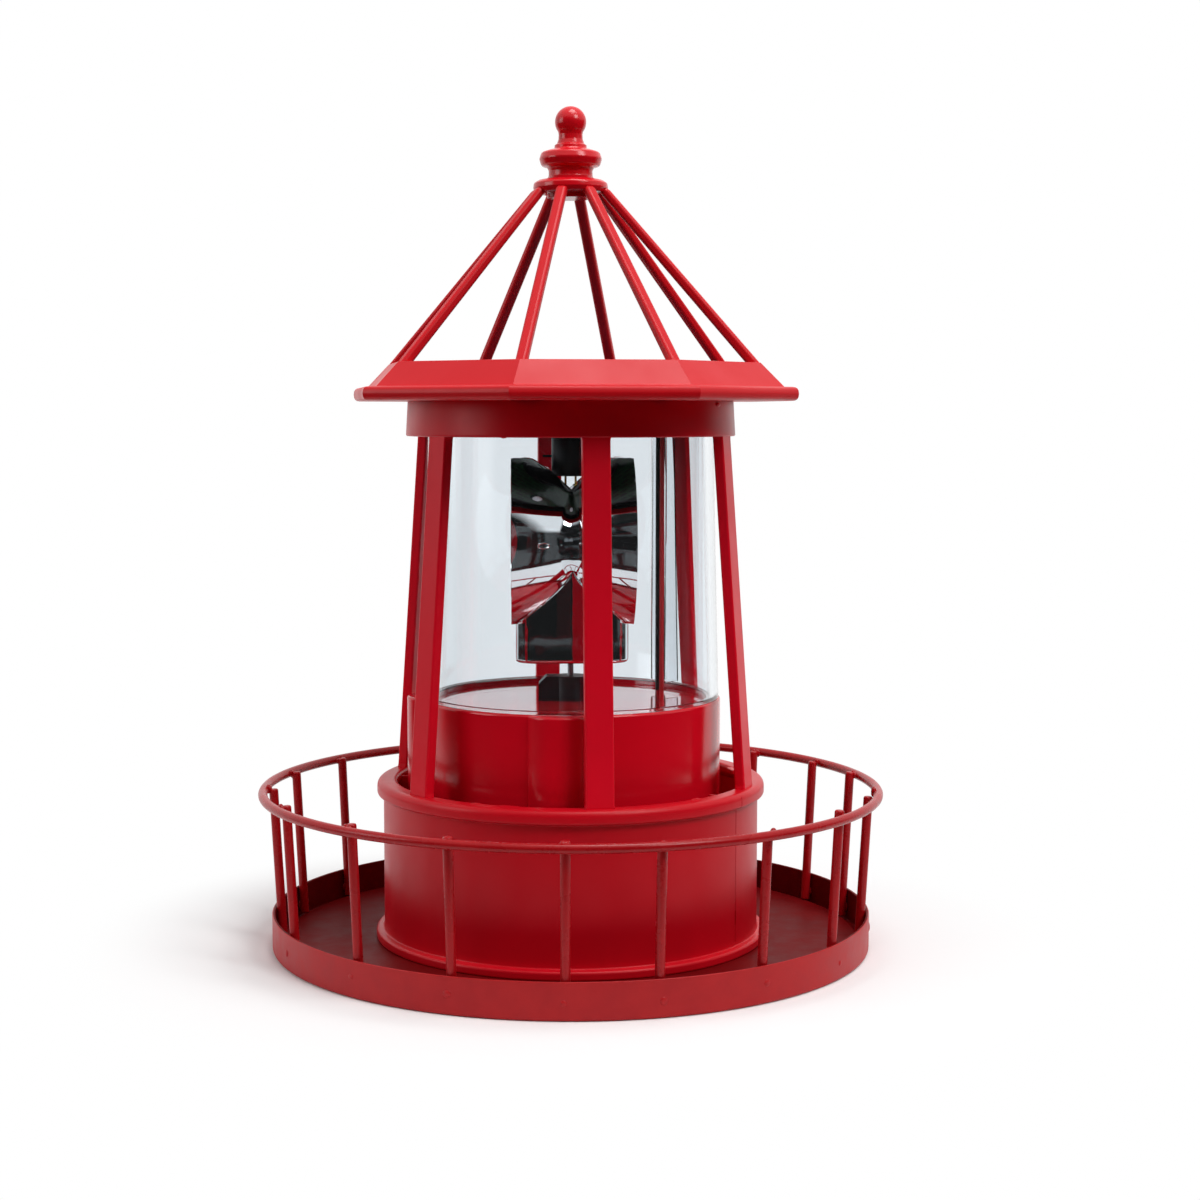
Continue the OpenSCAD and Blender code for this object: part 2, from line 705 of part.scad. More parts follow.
// ---------------------------------------------------------------- light and electronics
module lamp_holder() {
    bore = 3.2;
    pin_l = 2.2;
    pin_t = 0.6;
    color([0.05, 0.05, 0.06]) difference() {
        union() {
            translate([0, 0, holder_low]) cylinder(r = holder_r, h = holder_h);
            translate([0, 0, board_z - 1.4]) cylinder(r = holder_r + 2, h = 1.4);
            place(holder_r - 0.5, -98.5, holder_low + 4.6)
                translate([0, -pin_t / 2, 0]) cube([pin_l + 0.5, pin_t, pin_t]);
        }
        translate([0, 0, holder_low - 1]) cylinder(r = bore, h = holder_h - 1.2);
    }
}
module led_lamp() {
    base = mirror_mid + led_z + 2.4;
    lead = 0.5;
    lead_x = 1.27;
    lead_top = holder_low + holder_h - 2.2;
    color([0.95, 0.95, 0.85]) union() {
        translate([0, 0, base - 4.4]) cylinder(r = led_r, h = 4.4);
        translate([0, 0, base]) cylinder(r = led_r + 0.4, h = 1);
        translate([0, 0, base - 4.4]) sphere(r = led_r);
        for (side = [-1, 1])
            translate([side * lead_x - lead / 2, -lead / 2, base + 1 - eps])
                cube([lead, lead, lead_top - base - 1]);
    }
}
module driver_board() {
    chip = [6, 4, 1.2];
    chip_at = [[-board_r * 0.62, -board_r * 0.35], [board_r * 0.35, board_r * 0.31]];
    color([0.05, 0.3, 0.12]) difference() {
        union() {
            translate([0, 0, board_z]) cylinder(r = board_r, h = board_t);
            for (spot = chip_at)
                translate([spot[0], spot[1], board_top - eps]) cube(chip);
        }
        for (dir = board_fix_dirs)
            place(board_fix_at, dir, board_z - 1)
                cylinder(r = screw_r + screw_gap, h = board_t + 2, $fn = 32);
    }
}
module board_screws() {
    color([0.7, 0.7, 0.72]) for (dir = board_fix_dirs)
        place(board_fix_at, dir, board_z) cap_screw(board_t + board_gap - screw_free / 2);
}
module solar_housing() {
    pillar_r = 2.4;
    color([0.08, 0.08, 0.09]) difference() {
        union() {
            translate([0, 0, deck_z]) cylinder(r = housing_r, h = flange_t);
            ring(housing_r, housing_in, collar_drop + flange_t, brim_top - collar_drop);
            ring(flange_r, housing_in, flange_t, brim_top);
            ring(flange_r, flange_r - dish_wall, dish_top - brim_top, brim_top);
            for (dir = board_fix_dirs)
                place(board_fix_at, dir, board_top)
                    cylinder(r = pillar_r, h = board_gap + 0.5, $fn = 48);
        }
        for (dir = board_fix_dirs)
            place(board_fix_at, dir, board_top - 1)
                cylinder(r = screw_r + screw_gap, h = board_gap + 1, $fn = 32);
    }
}
module solar_panel() {
    color([0.03, 0.04, 0.1]) translate([0, 0, panel_z]) cylinder(r = panel_r, h = panel_t);
}
module solar_cells() {
    cell_t = 0.2;
    gap = 1;
    span = panel_r * 1.5;
    step = span / cell_n;
    color([0.05, 0.07, 0.2]) for (i = [0:cell_n - 1]) {
        x = (i + 0.5) * step - span / 2;
        half = sqrt(pow(panel_r - 2, 2) - pow(abs(x) + step / 2, 2));
        translate([x - step / 2 + gap / 2, -half, panel_z + panel_t])
            cube([step - gap, 2 * half, cell_t]);
    }
}

// ---------------------------------------------------------------- battery and base
module battery_cells() {
    tip_h = 1;
    tip_r = 2.6;
    color([0.2, 0.45, 0.25]) for (dir = well_dirs)
        place(well_at, dir, cell_z) union() {
            cylinder(r = cell_r, h = cell_l - tip_h);
            translate([0, 0, cell_l - tip_h - eps]) cylinder(r = tip_r, h = tip_h + eps, $fn = 48);
        }
}
// Outline of the battery door: the two wells and the arc between them
module door_outline(grow) {
    union() {
        wells(well_r - cover_gap + grow);
        difference() {
            intersection() {
                circle(r = cup_in - cover_gap + grow);
                polygon([[0, 0], at2(wedge_r, well_dirs[0]), at2(wedge_r, door_screw_dir),
                         at2(wedge_r, well_dirs[1])]);
            }
            circle(r = door_in_r - grow);
        }
    }
}
module battery_door() {
    color([0.12, 0.12, 0.13]) difference() {
        translate([0, 0, cover_z]) linear_extrude(height = cover_t) door_outline(0);
        place(door_screw_at, door_screw_dir, cover_z - 1)
            cylinder(r = screw_r + screw_gap, h = cover_t + 2, $fn = 32);
    }
}
module base_cover() {
    color([0.12, 0.12, 0.13]) difference() {
        translate([0, 0, cover_z]) cylinder(r = cup_in - cover_gap, h = cover_t);
        translate([0, 0, cover_z - 1]) linear_extrude(height = cover_t + 2) door_outline(cover_gap);
        translate([switch_x - slot_l / 2, switch_y - slot_w / 2, cover_z - 1])
            cube([slot_l, slot_w, cover_t + 2]);
        for (dir = cover_screw_dirs)
            place(cover_screw_at, dir, cover_z - 1)
                cylinder(r = screw_r + screw_gap, h = cover_t + 2, $fn = 32);
    }
}
module cap_screw(length) {
    union() {
        translate([0, 0, -screw_head_h]) cylinder(r = screw_head_r, h = screw_head_h, $fn = 32);
        translate([0, 0, -eps]) cylinder(r = screw_r, h = length, $fn = 32);
    }
}
module cover_screws() {
    color([0.7, 0.7, 0.72]) for (dir = cover_screw_dirs)
        place(cover_screw_at, dir, cover_z) cap_screw(screw_l);
}
module door_screw() {
    color([0.7, 0.7, 0.72]) place(door_screw_at, door_screw_dir, cover_z) cap_screw(screw_l);
}
module tray_screws() {
    color([0.7, 0.7, 0.72]) for (dir = fix_dirs)
        place(fix_at, dir, floor_under) cap_screw(fix_top - floor_under - screw_free);
}
module battery_link() {
    link_r = 5;
    strip_in = 4;
    strip_r = well_at - strip_in;
    strip_w = 1.7;
    color([0.8, 0.75, 0.5]) translate([0, 0, link_z]) linear_extrude(height = contact_t)
        union() {
            wells(link_r);
            difference() {
                intersection() {
                    circle(r = strip_r + strip_w);
                    polygon([[0, 0], at2(wedge_r, well_dirs[0]), at2(wedge_r, door_screw_dir),
                             at2(wedge_r, well_dirs[1])]);
                }
                circle(r = strip_r);
            }
        }
}
module battery_springs() {
    turns = 4;
    coil_r = 3.6;
    top_r = 2.2;
    h = cell_z - spring_z;
    color([0.75, 0.75, 0.77]) for (dir = well_dirs)
        place(well_at, dir, spring_z) difference() {
            cylinder(r1 = coil_r, r2 = top_r + spring_wire, h = h, $fn = 48);
            translate([0, 0, -eps]) cylinder(r1 = coil_r - spring_wire, r2 = top_r, h = h + 2 * eps, $fn = 48);
        }
}
module battery_contacts() {
    plate_w = 8;
    color([0.8, 0.75, 0.5]) for (dir = well_dirs)
        place(well_at, dir, contact_z) union() {
            translate([-plate_w / 2, -plate_w / 2, 0]) cube([plate_w, plate_w, contact_t]);
            translate([tab_end_r - well_at, -tab_w / 2, 0])
                cube([well_at - tab_end_r, tab_w, contact_t]);
        }
}
module switch_body() {
    size = [10, 5, 4.2];
    color([0.6, 0.6, 0.62]) difference() {
        translate([switch_x - size[0] / 2, switch_y - size[1] / 2, cover_top]) cube(size);
        translate([switch_x - slot_l / 2, switch_y - slot_w / 2, cover_top - eps])
            cube([slot_l, slot_w, knob_in + cover_gap]);
    }
}
module switch_knob() {
    below = 0.8;
    color([0.1, 0.1, 0.1])
        translate([switch_x - switch_travel / 2 - knob_l / 2, switch_y - knob_w / 2, cover_z - below])
            cube([knob_l, knob_w, below + cover_t + knob_in]);
}

// ---------------------------------------------------------------- wires
// Tube of eight sides along a list of points
function unit(v) = v / norm(v);
function heading(p, i) = i == 0 ? unit(p[1] - p[0])
    : i == len(p) - 1 ? unit(p[i] - p[i - 1]) : unit(unit(p[i + 1] - p[i]) + unit(p[i] - p[i - 1]));
function side_of(t) = abs(t[2]) > 0.9 ? unit(cross(t, [0, 1, 0])) : unit(cross(t, [0, 0, 1]));
function carry(s, t) = unit(s - (s * t) * t);
function frames(p, i = 0, s = [1, 0, 0], out = []) = i == len(p) ? out
    : let (t = heading(p, i), n = i == 0 ? side_of(t) : carry(s, t))
        frames(p, i + 1, n, concat(out, [[t, n, cross(t, n)]]));
module tube(p, r, sides = 8) {
    f = frames(p);
    points = [for (i = [0:len(p) - 1]) for (k = [0:sides - 1])
        p[i] + r * (f[i][1] * cos(k * 360 / sides) + f[i][2] * sin(k * 360 / sides))];
    walls = [for (i = [0:len(p) - 2]) for (k = [0:sides - 1]) for (half = [0, 1])
        let (a = i * sides + k, b = i * sides + (k + 1) % sides)
            half == 0 ? [a, b, b + sides] : [a, b + sides, a + sides]];
    last = (len(p) - 1) * sides;
    caps = concat([for (k = [1:sides - 2]) [0, k + 1, k]],
                  [for (k = [1:sides - 2]) [last, last + k, last + k + 1]]);
    polyhedron(points = points, faces = [for (w = concat(walls, caps)) [w[0], w[2], w[1]]]);
}
// Smooth curve through points, given as distance from the axis, direction and height
function knot(k, i) = k[max(0, min(len(k) - 1, i))];
function blend(a, b, c, d, t) = 0.5 * (2 * b + t * (c - a) + t * t * (2 * a - 5 * b + 4 * c - d)
                                       + t * t * t * (3 * b - a - 3 * c + d));
function curve(k, n = 4) = concat([for (i = [0:len(k) - 2]) for (j = [0:n - 1])
    blend(knot(k, i - 1), k[i], k[i + 1], knot(k, i + 2), j / n)], [k[len(k) - 1]]);
// A wire's route from a battery's contact round the motor, through the floor disc,
// up the duct and over the circuit board's edge
function wire_route(from, to) = let (s = sign(to - from), loop_z = seat_z - wire_sag,
                                     loop_r = tab_r - lead_d / 3, bend = wire_sag / 4,
                                     solder_z = seat_z + lead_d / 2) [
    [loop_r, from - s * 4, solder_z],
    [loop_r, from + s * 4, solder_z],
    [loop_r, from + s * 14, solder_z - 2 * bend],
    [loop_r, from + s * 28, loop_z],
    [loop_r, from + s * 50, loop_z - bend / 2],
    [loop_r, (from + to) / 2 + s * 5, loop_z - bend * 0.7],
    [loop_r, to - s * 36, loop_z - bend / 2],
    [loop_r + 2 * bend, to - s * 22, loop_z - bend / 5],
    [loop_r + 5 * bend, to - s * 11, loop_z + bend / 2],
    [duct_at - bend, to - s * 3, loop_z + 2 * bend],
    [duct_at, to, loop_z + 4 * bend],
    [duct_at, to, seat_top + 3 * bend],
    [duct_at, to, seat_top + 8 * bend],
    [duct_at, to, (seat_top + board_z) / 2],
    [duct_at, to, board_z - 6 * bend],
    [duct_at, to, board_z - 2 * bend],
    [duct_at - bend / 4, to, board_top + bend / 2],
    [duct_at - 2 * bend, to, board_top + 2 * bend],
    [duct_at - 4 * bend, to, board_top + 2.2 * bend],
    [duct_at - 5.8 * bend, to, board_top + 1.4 * bend],
    [duct_at - 6.2 * bend, to, board_top + lead_d / 16]];
wire_sag = 4.4;
wire_spread = 1.5;
full_turn = 360;
module wire_red() {
    color([0.8, 0.05, 0.05]) tube([for (q = curve(wire_route(well_dirs[0], duct_dir - wire_spread)))
        at(q[0], q[1], q[2])], lead_d / 2);
}
module wire_black() {
    color([0.05, 0.05, 0.05])
        tube([for (q = curve(wire_route(well_dirs[1], duct_dir + wire_spread - full_turn)))
            at(q[0], q[1], q[2])], lead_d / 2);
}

gallery_tray();
rail_ring();
rail_balusters();
drum();
window_posts();
top_band();
roof_skirt();
roof_ribs();
finial();
lens_cylinder();
lamp_cup();
floor_disc();
bearing_block();
motor_can();
motor_shaft();
reflector();
lamp_holder();
led_lamp();
driver_board();
board_screws();
solar_housing();
solar_panel();
solar_cells();
battery_cells();
battery_springs();
battery_link();
battery_contacts();
base_cover();
cover_screws();
battery_door();
door_screw();
switch_body();
switch_knob();
wire_red();
wire_black();
tray_screws();
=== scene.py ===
"""Garden lighthouse ornament: fine shapes, finishes, studio and camera.

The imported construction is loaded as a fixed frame. Pieces that show from a step away are
modelled again with rounded edges and moulding marks, and stand in for their plain solids;
every other solid keeps its shape and gets a finish. Lengths in this file are millimetres
and become metres in one place, the workbench. Directions are degrees from the front to the
right.
"""

import logging
import math
import random
from dataclasses import dataclass
from enum import Enum
from typing import Iterable, Sequence

import bpy
from mathutils import Matrix, Vector

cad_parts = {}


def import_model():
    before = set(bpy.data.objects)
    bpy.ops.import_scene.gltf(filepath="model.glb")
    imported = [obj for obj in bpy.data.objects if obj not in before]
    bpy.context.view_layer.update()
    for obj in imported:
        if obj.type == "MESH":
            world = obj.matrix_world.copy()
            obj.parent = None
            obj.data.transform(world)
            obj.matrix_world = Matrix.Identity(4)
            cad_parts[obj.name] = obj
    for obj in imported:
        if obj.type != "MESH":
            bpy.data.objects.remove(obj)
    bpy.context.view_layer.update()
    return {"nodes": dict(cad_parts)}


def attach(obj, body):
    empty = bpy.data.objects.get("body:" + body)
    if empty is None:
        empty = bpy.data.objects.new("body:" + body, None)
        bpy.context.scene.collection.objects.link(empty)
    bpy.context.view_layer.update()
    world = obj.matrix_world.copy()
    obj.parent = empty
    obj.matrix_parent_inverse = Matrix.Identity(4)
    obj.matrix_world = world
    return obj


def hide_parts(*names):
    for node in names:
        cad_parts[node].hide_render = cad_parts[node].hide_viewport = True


LOG = logging.getLogger("lighthouse")
MM = 0.001
Point = tuple[float, float]
Spot = tuple[float, float, float]
Object = bpy.types.Object
Node = bpy.types.Node
Socket = bpy.types.NodeSocket
Tree = bpy.types.NodeTree
Material = bpy.types.Material


# ------------ colour and nodes
def linear(code: str, alpha: float = 1.0) -> tuple[float, float, float, float]:
    """Turns an sRGB hex colour into linear light.

    Args:
        code: Colour as "#rrggbb".
        alpha: Fourth value of the result.

    Returns:
        Linear red, green and blue with alpha.
    """
    parts = [int(code[i:i + 2], 16) / 255 for i in (1, 3, 5)]
    lin = [c / 12.92 if c <= 0.04045 else ((c + 0.055) / 1.055) ** 2.4 for c in parts]
    return (lin[0], lin[1], lin[2], alpha)


def add_node(tree: Tree, kind: str, values: dict | None = None) -> Node:
    """Adds a shader node with its properties, its input values and its incoming links.

    Args:
        tree: Node tree of the material or world.
        kind: Blender's name of the node type, without "ShaderNode" before it.
        values: Property or input values by name or number; a socket is linked to the
            input, and a node gives its first output.

    Returns:
        The new node.
    """
    node = tree.nodes.new("ShaderNode" + kind)
    for key, value in (values or {}).items():
        if isinstance(value, (Node, Socket)):
            tree.links.new(value.outputs[0] if isinstance(value, Node) else value,
                           node.inputs[key])
        elif isinstance(key, int) or key in node.inputs:
            node.inputs[key].default_value = value
        else:
            setattr(node, key, value)
    return node


def new_material(name: str) -> tuple[Material, Tree]:
    """Starts an empty node material and returns it with its tree.

    Args:
        name: Name of the material.

    Returns:
        The material and its node tree.
    """
    material = bpy.data.materials.new(name)
    material.use_nodes = True
    material.node_tree.nodes.clear()
    return material, material.node_tree


def cell(size_mm: float) -> float:
    """Gives a noise texture's scale for cells of a real size in millimetres."""
    return 1.0 / (size_mm * MM)


# ------------ finishes
class Finish:
    """A real material with its surface; each kind says how its shader is made."""

    name: str

    def shader(self, tree: Tree, place: Socket) -> Node:
        """Adds the shader, with its patterns laid out on the piece's own coordinates."""
        raise NotImplementedError

    def material(self) -> Material:
        """Builds the material.

        Returns:
            The material.
        """
        material, tree = new_material(self.name)
        shader = self.shader(tree, add_node(tree, "TexCoord").outputs["Object"])
        add_node(tree, "OutputMaterial", {"Surface": shader})
        return material


@dataclass(frozen=True)
class MouldedPlastic(Finish):
    """Injection-moulded plastic: even colour, faint flow clouds, a fine spark-eroded skin."""

    name: str
    colour: str
    cloud: str
    roughness: float = 0.35
    swing: float = 0.06
    skin_mm: float = 0.5
    skin: float = 0.06
    wave: float = 0.05
    coat: float = 0.0
    gleam: float = 0.5
    cloud_mm: float = 14
    wave_mm: float = 7

    def shader(self, tree: Tree, place: Socket) -> Node:
        """Adds the shader.

        Args:
            tree: Node tree of the material.
            place: The piece's own coordinates.

        Returns:
            The shader's node.
        """
        # slow clouds of pigment, about as wide as a fingertip
        cloud = add_node(tree, "TexNoise", {
            "Scale": cell(self.cloud_mm), "Detail": 3.0, "Roughness": 0.55, "Vector": place})
        tint = add_node(tree, "Mix", {
            "data_type": "RGBA", 6: linear(self.colour), 7: linear(self.cloud), 0: cloud})
        shine = add_node(tree, "MapRange", {
            "From Min": 0.3, "From Max": 0.7, "To Min": self.roughness - self.swing,
            "To Max": self.roughness + self.swing, 0: cloud})
        # the real skin is finer than can be seen; it is drawn as coarse as it needs to show
        skin = add_node(tree, "TexNoise", {
            "Scale": cell(self.skin_mm), "Detail": 2.0, "Vector": place})
        # sink marks and mould polish, a few millimetres wide
        wave = add_node(tree, "TexNoise", {
            "Scale": cell(self.wave_mm), "Detail": 1.0, "Vector": place})
        soft = add_node(tree, "Bump", {
            "Strength": self.wave, "Distance": 0.3 * MM, "Height": wave})
        bump = add_node(tree, "Bump", {
            "Strength": self.skin, "Distance": 0.05 * MM, "Height": skin, "Normal": soft})
        return add_node(tree, "BsdfPrincipled", {
            "IOR": 1.49, "Coat Weight": self.coat, "Specular IOR Level": self.gleam,
            "Coat Roughness": 0.06, "Base Color": tint.outputs[2], "Roughness": shine,
            "Normal": bump})


@dataclass(frozen=True)
class EnamelledSteel(Finish):
    """Sprayed enamel on steel: satin, with orange peel and paler spots where it is thin."""

    name: str
    colour: str
    thin: str
    roughness: float = 0.36
    peel_mm: float = 1.1
    peel: float = 0.16
    gleam: float = 0.35
    grit: float = 0.25
    patch_mm: float = 6
    grit_mm: float = 2.6

    def shader(self, tree: Tree, place: Socket) -> Node:
        """Adds the shader.

        Args:
            tree: Node tree of the material.
            place: The piece's own coordinates.

        Returns:
            The shader's node.
        """
        patch = add_node(tree, "TexNoise", {
            "Scale": cell(self.patch_mm), "Detail": 5.0, "Roughness": 0.6, "Vector": place})
        spread = add_node(tree, "MapRange", {"From Min": 0.35, "From Max": 0.75, 0: patch})
        tint = add_node(tree, "Mix", {
            "data_type": "RGBA", 6: linear(self.colour), 7: linear(self.thin), 0: spread})
        shine = add_node(tree, "MapRange", {
            "From Min": 0.3, "From Max": 0.7, "To Min": self.roughness - 0.05,
            "To Max": self.roughness + 0.09, 0: patch})
        peel = add_node(tree, "TexNoise", {
            "Scale": cell(self.peel_mm), "Detail": 2.0, "Vector": place})
        # grains of dust under the enamel, drawn about twice their real size to show at all
        dust = add_node(tree, "TexVoronoi", {"Scale": cell(self.grit_mm), "Vector": place})
        grit = add_node(tree, "MapRange", {
            "From Min": 0.0, "From Max": 0.12, "To Min": 1.0, "To Max": 0.0,
            0: dust.outputs["Distance"]})
        low = add_node(tree, "Bump", {"Strength": self.peel, "Distance": 0.1 * MM, "Height": peel})
        bump = add_node(tree, "Bump", {
            "Strength": self.grit, "Distance": 0.06 * MM, "Height": grit, "Normal": low})
        return add_node(tree, "BsdfPrincipled", {
            "Specular IOR Level": self.gleam, "Base Color": tint.outputs[2], "Roughness": shine,
            "Normal": bump})


@dataclass(frozen=True)
class PlatedPlastic(Finish):
    """Vacuum-plated plastic: a bright mirror that keeps the moulding's slight waves."""

    name: str = "vacuum_chrome"
    colour: str = "#f2f3f4"
    haze_mm: float = 3
    wave_mm: float = 5.5

    def shader(self, tree: Tree, place: Socket) -> Node:
        """Adds the shader.

        Args:
            tree: Node tree of the material.
            place: The piece's own coordinates.

        Returns:
            The shader's node.
        """
        haze = add_node(tree, "TexNoise", {
            "Scale": cell(self.haze_mm), "Detail": 4.0, "Vector": place})
        shine = add_node(tree, "MapRange", {
            "From Min": 0.35, "From Max": 0.75, "To Min": 0.02, "To Max": 0.05, 0: haze})
        wave = add_node(tree, "TexNoise", {
            "Scale": cell(self.wave_mm), "Detail": 1.5, "Vector": place})
        bump = add_node(tree, "Bump", {"Strength": 0.05, "Distance": 0.5 * MM, "Height": wave})
        return add_node(tree, "BsdfPrincipled", {
            "Base Color": linear(self.colour), "Metallic": 1.0, "Roughness": shine,
            "Normal": bump})


@dataclass(frozen=True)
class ClearPlastic(Finish):
    """Clear polystyrene: bright edges, a faint blue cast and slow ripples from the mould."""

    name: str = "clear_polystyrene"
    colour: str = "#f4f8fb"
    ior: float = 1.5
    ripple: float = 0.02
    ripple_mm: float = 9

    def shader(self, tree: Tree, place: Socket) -> Node:
        """Adds the shader; lamps shine through it as through a thin wall.

        Args:
            tree: Node tree of the material.
            place: The piece's own coordinates.

        Returns:
            The shader's node.
        """
        ripple = add_node(tree, "TexNoise", {
            "Scale": cell(self.ripple_mm), "Detail": 1.0, "Vector": place})
        bump = add_node(tree, "Bump", {
            "Strength": self.ripple, "Distance": 0.2 * MM, "Height": ripple})
        haze = add_node(tree, "MapRange", {
            "From Min": 0.4, "From Max": 0.8, "To Min": 0.0, "To Max": 0.03, 0: ripple})
        glass = add_node(tree, "BsdfPrincipled", {
            "Base Color": linear(self.colour), "IOR": self.ior, "Transmission Weight": 1.0,
            "Roughness": haze, "Normal": bump})
        clear = add_node(tree, "BsdfTransparent", {"Color": linear("#f4f6f8")})
        rays = add_node(tree, "LightPath")
        return add_node(tree, "MixShader", {0: rays.outputs["Is Shadow Ray"], 1: glass, 2: clear})


@dataclass(frozen=True)
class PlatedSteel(Finish):
    """Zinc- or nickel-plated steel: pale metal with fine draw lines."""

    name: str
    colour: str
    dull: str
    roughness: float = 0.3
    line_mm: float = 1.2

    def shader(self, tree: Tree, place: Socket) -> Node:
        """Adds the shader.

        Args:
            tree: Node tree of the material.
            place: The piece's own coordinates.

        Returns:
            The shader's node.
        """
        flat = add_node(tree, "Mapping", {"Scale": (1.0, 1.0, 9.0), "Vector": place})
        lines = add_node(tree, "TexNoise", {
            "Scale": cell(self.line_mm), "Detail": 4.0, "Vector": flat})
        tint = add_node(tree, "Mix", {
            "data_type": "RGBA", 6: linear(self.colour), 7: linear(self.dull), 0: lines})
        shine = add_node(tree, "MapRange", {
            "To Min": self.roughness - 0.08, "To Max": self.roughness + 0.12, 0: lines})
        bump = add_node(tree, "Bump", {"Strength": 0.12, "Distance": 0.04 * MM, "Height": lines})
        return add_node(tree, "BsdfPrincipled", {
            "Metallic": 1.0, "Base Color": tint.outputs[2], "Roughness": shine, "Normal": bump})


@dataclass(frozen=True)
class CircuitBoard(Finish):
    """Solder mask on fibreglass: green lacquer over raised copper tracks."""

    name: str = "solder_mask"
    track_mm: float = 9

    def shader(self, tree: Tree, place: Socket) -> Node:
        """Adds the shader.

        Args:
            tree: Node tree of the material.
            place: The piece's own coordinates.

        Returns:
            The shader's node.
        """
        grid = add_node(tree, "TexBrick", {
            "Scale": cell(self.track_mm), "Mortar Size": 0.06, "Color1": (1, 1, 1, 1),
            "Color2": (0.6, 0.6, 0.6, 1), "Mortar": (0, 0, 0, 1), "Vector": place})
        tint = add_node(tree, "Mix", {
            "data_type": "RGBA", 6: linear("#12381d"), 7: linear("#07130b"),
            0: grid.outputs["Color"]})
        bump = add_node(tree, "Bump", {
            "Strength": 0.3, "Distance": 0.04 * MM, "Height": grid.outputs["Fac"]})
        return add_node(tree, "BsdfPrincipled", {
            "Roughness": 0.28, "Base Color": tint.outputs[2], "Normal": bump})


@dataclass(frozen=True)
class SolarSilicon(Finish):
    """Silicon cells under resin: blue-black with fine silver fingers across each cell."""

    name: str = "silicon_cell"
    finger_mm: float = 2.2
    grain_mm: float = 3.5

    def shader(self, tree: Tree, place: Socket) -> Node:
        """Adds the shader.

        Args:
            tree: Node tree of the material.
            place: The piece's own coordinates.

        Returns:
            The shader's node.
        """
        grain = add_node(tree, "TexVoronoi", {"Scale": cell(self.grain_mm), "Vector": place})
        blue = add_node(tree, "Mix", {
            "data_type": "RGBA", 6: linear("#0b1330"), 7: linear("#1b2a5a"),
            0: grain.outputs["Color"]})
        axis = add_node(tree, "SeparateXYZ", {0: place})
        count = add_node(tree, "Math", {
            "operation": "MULTIPLY", 1: cell(self.finger_mm), 0: axis.outputs["Y"]})
        part = add_node(tree, "Math", {"operation": "FRACT", 0: count})
        line = add_node(tree, "Math", {"operation": "LESS_THAN", 1: 0.09, 0: part})
        tint = add_node(tree, "Mix", {
            "data_type": "RGBA", 7: linear("#9aa3b5"), 0: line, 6: blue.outputs[2]})
        return add_node(tree, "BsdfPrincipled", {
            "Roughness": 0.2, "Coat Weight": 1.0, "Coat Roughness": 0.04,
            "Base Color": tint.outputs[2]})


class Skin(Enum):
    """The finishes that the ornament's pieces wear."""

    TOWER = MouldedPlastic("tower_polypropylene", "#d00b1e", "#c40518", 0.34, 0.05, skin=0.02,
                           gleam=0.22)
    # the posts are the tower's own plastic; this copy is painted lighter, as painted light for the
    # top light that their inward lean catches
    POST = MouldedPlastic("tower_polypropylene_painted_lighter", "#e60d27", "#da071f", 0.34, 0.05, skin=0.02,
                          gleam=0.22)
    ROOF = MouldedPlastic("roof_polypropylene", "#d6111d", "#cc0a17", 0.38, 0.05, skin=0.008,
                          gleam=0.22)
    FINIAL = MouldedPlastic("finial_polypropylene", "#e01120", "#d60d1b", 0.2, 0.03, skin=0.003,
                            wave=0.02, gleam=0.4)
    CUP = MouldedPlastic("cup_polystyrene", "#dc0b22", "#d0061b", 0.18, 0.03, skin=0.012,
                         gleam=0.35, coat=0.06)
    FLOOR = MouldedPlastic("disc_polystyrene", "#b80a18", "#ab0613", 0.07, 0.02, skin=0.01,
                           wave=0.02, coat=0.8)
    BLACK = MouldedPlastic("black_abs", "#141416", "#1b1b1e", 0.42, 0.06, skin=0.15)
    TRAY = EnamelledSteel("tray_enamel", "#a80f16", "#b51a1d", 0.42, gleam=0.28)
    # inside the dish the same enamel is painted darker, as painted shade where the drum and the
    # rail shadow the dish
    POOL = EnamelledSteel("tray_enamel_painted_shade", "#62070a", "#6e0a0d", 0.42, peel=0.2, gleam=0.03,
                          grit=0.04)
    RAIL = EnamelledSteel("rail_enamel", "#a00a12", "#ac1218", 0.26, peel_mm=0.9, peel=0.08,
                          gleam=0.24, grit=0.1)
    MIRROR = PlatedPlastic()
    CLEAR = ClearPlastic()
    RESIN = ClearPlastic("diode_epoxy", "#fbf8e6", 1.53, 0.0)
    STEEL = PlatedSteel("zinc_plated_steel", "#c9ccd0", "#a9acb0")
    NICKEL = PlatedSteel("nickel_plated_spring", "#cfc9ba", "#b5ae9c", 0.26)
    GOLD = PlatedSteel("tinned_brass_lead", "#d8b866", "#b98f45", 0.22)
    BOARD = CircuitBoard()
    SILICON = SolarSilicon()
    PANEL = MouldedPlastic("panel_resin", "#0c0e18", "#12141f", 0.12, 0.02, skin=0.01, coat=1.0)
    SLEEVE = MouldedPlastic("battery_sleeve", "#1f6b45", "#257a50", 0.25, 0.03)
    RED_WIRE = MouldedPlastic("red_pvc", "#a8141a", "#b51c20", 0.45, 0.05, skin=0.1)
    BLACK_WIRE = MouldedPlastic("black_pvc", "#121213", "#19191b", 0.45, 0.05, skin=0.1)

    def material(self) -> Material:
        """Gives the one Blender material of this finish, built at its first use."""
        made = bpy.data.materials.get(self.value.name)
        return made if made is not None else self.value.material()


# ------------ workbench
def clear() -> None:
    """Leaves edit mode and selects nothing."""
    if bpy.context.object is not None and bpy.context.object.mode != "OBJECT":
        bpy.ops.object.mode_set(mode="OBJECT")
    bpy.ops.object.select_all(action="DESELECT")


def pick(*objects: Object) -> None:
    """Selects objects and makes the first one active.

    Args:
        objects: Objects to select.
    """
    clear()
    for obj in objects:
        obj.select_set(True)
    bpy.context.view_layer.objects.active = objects[0]


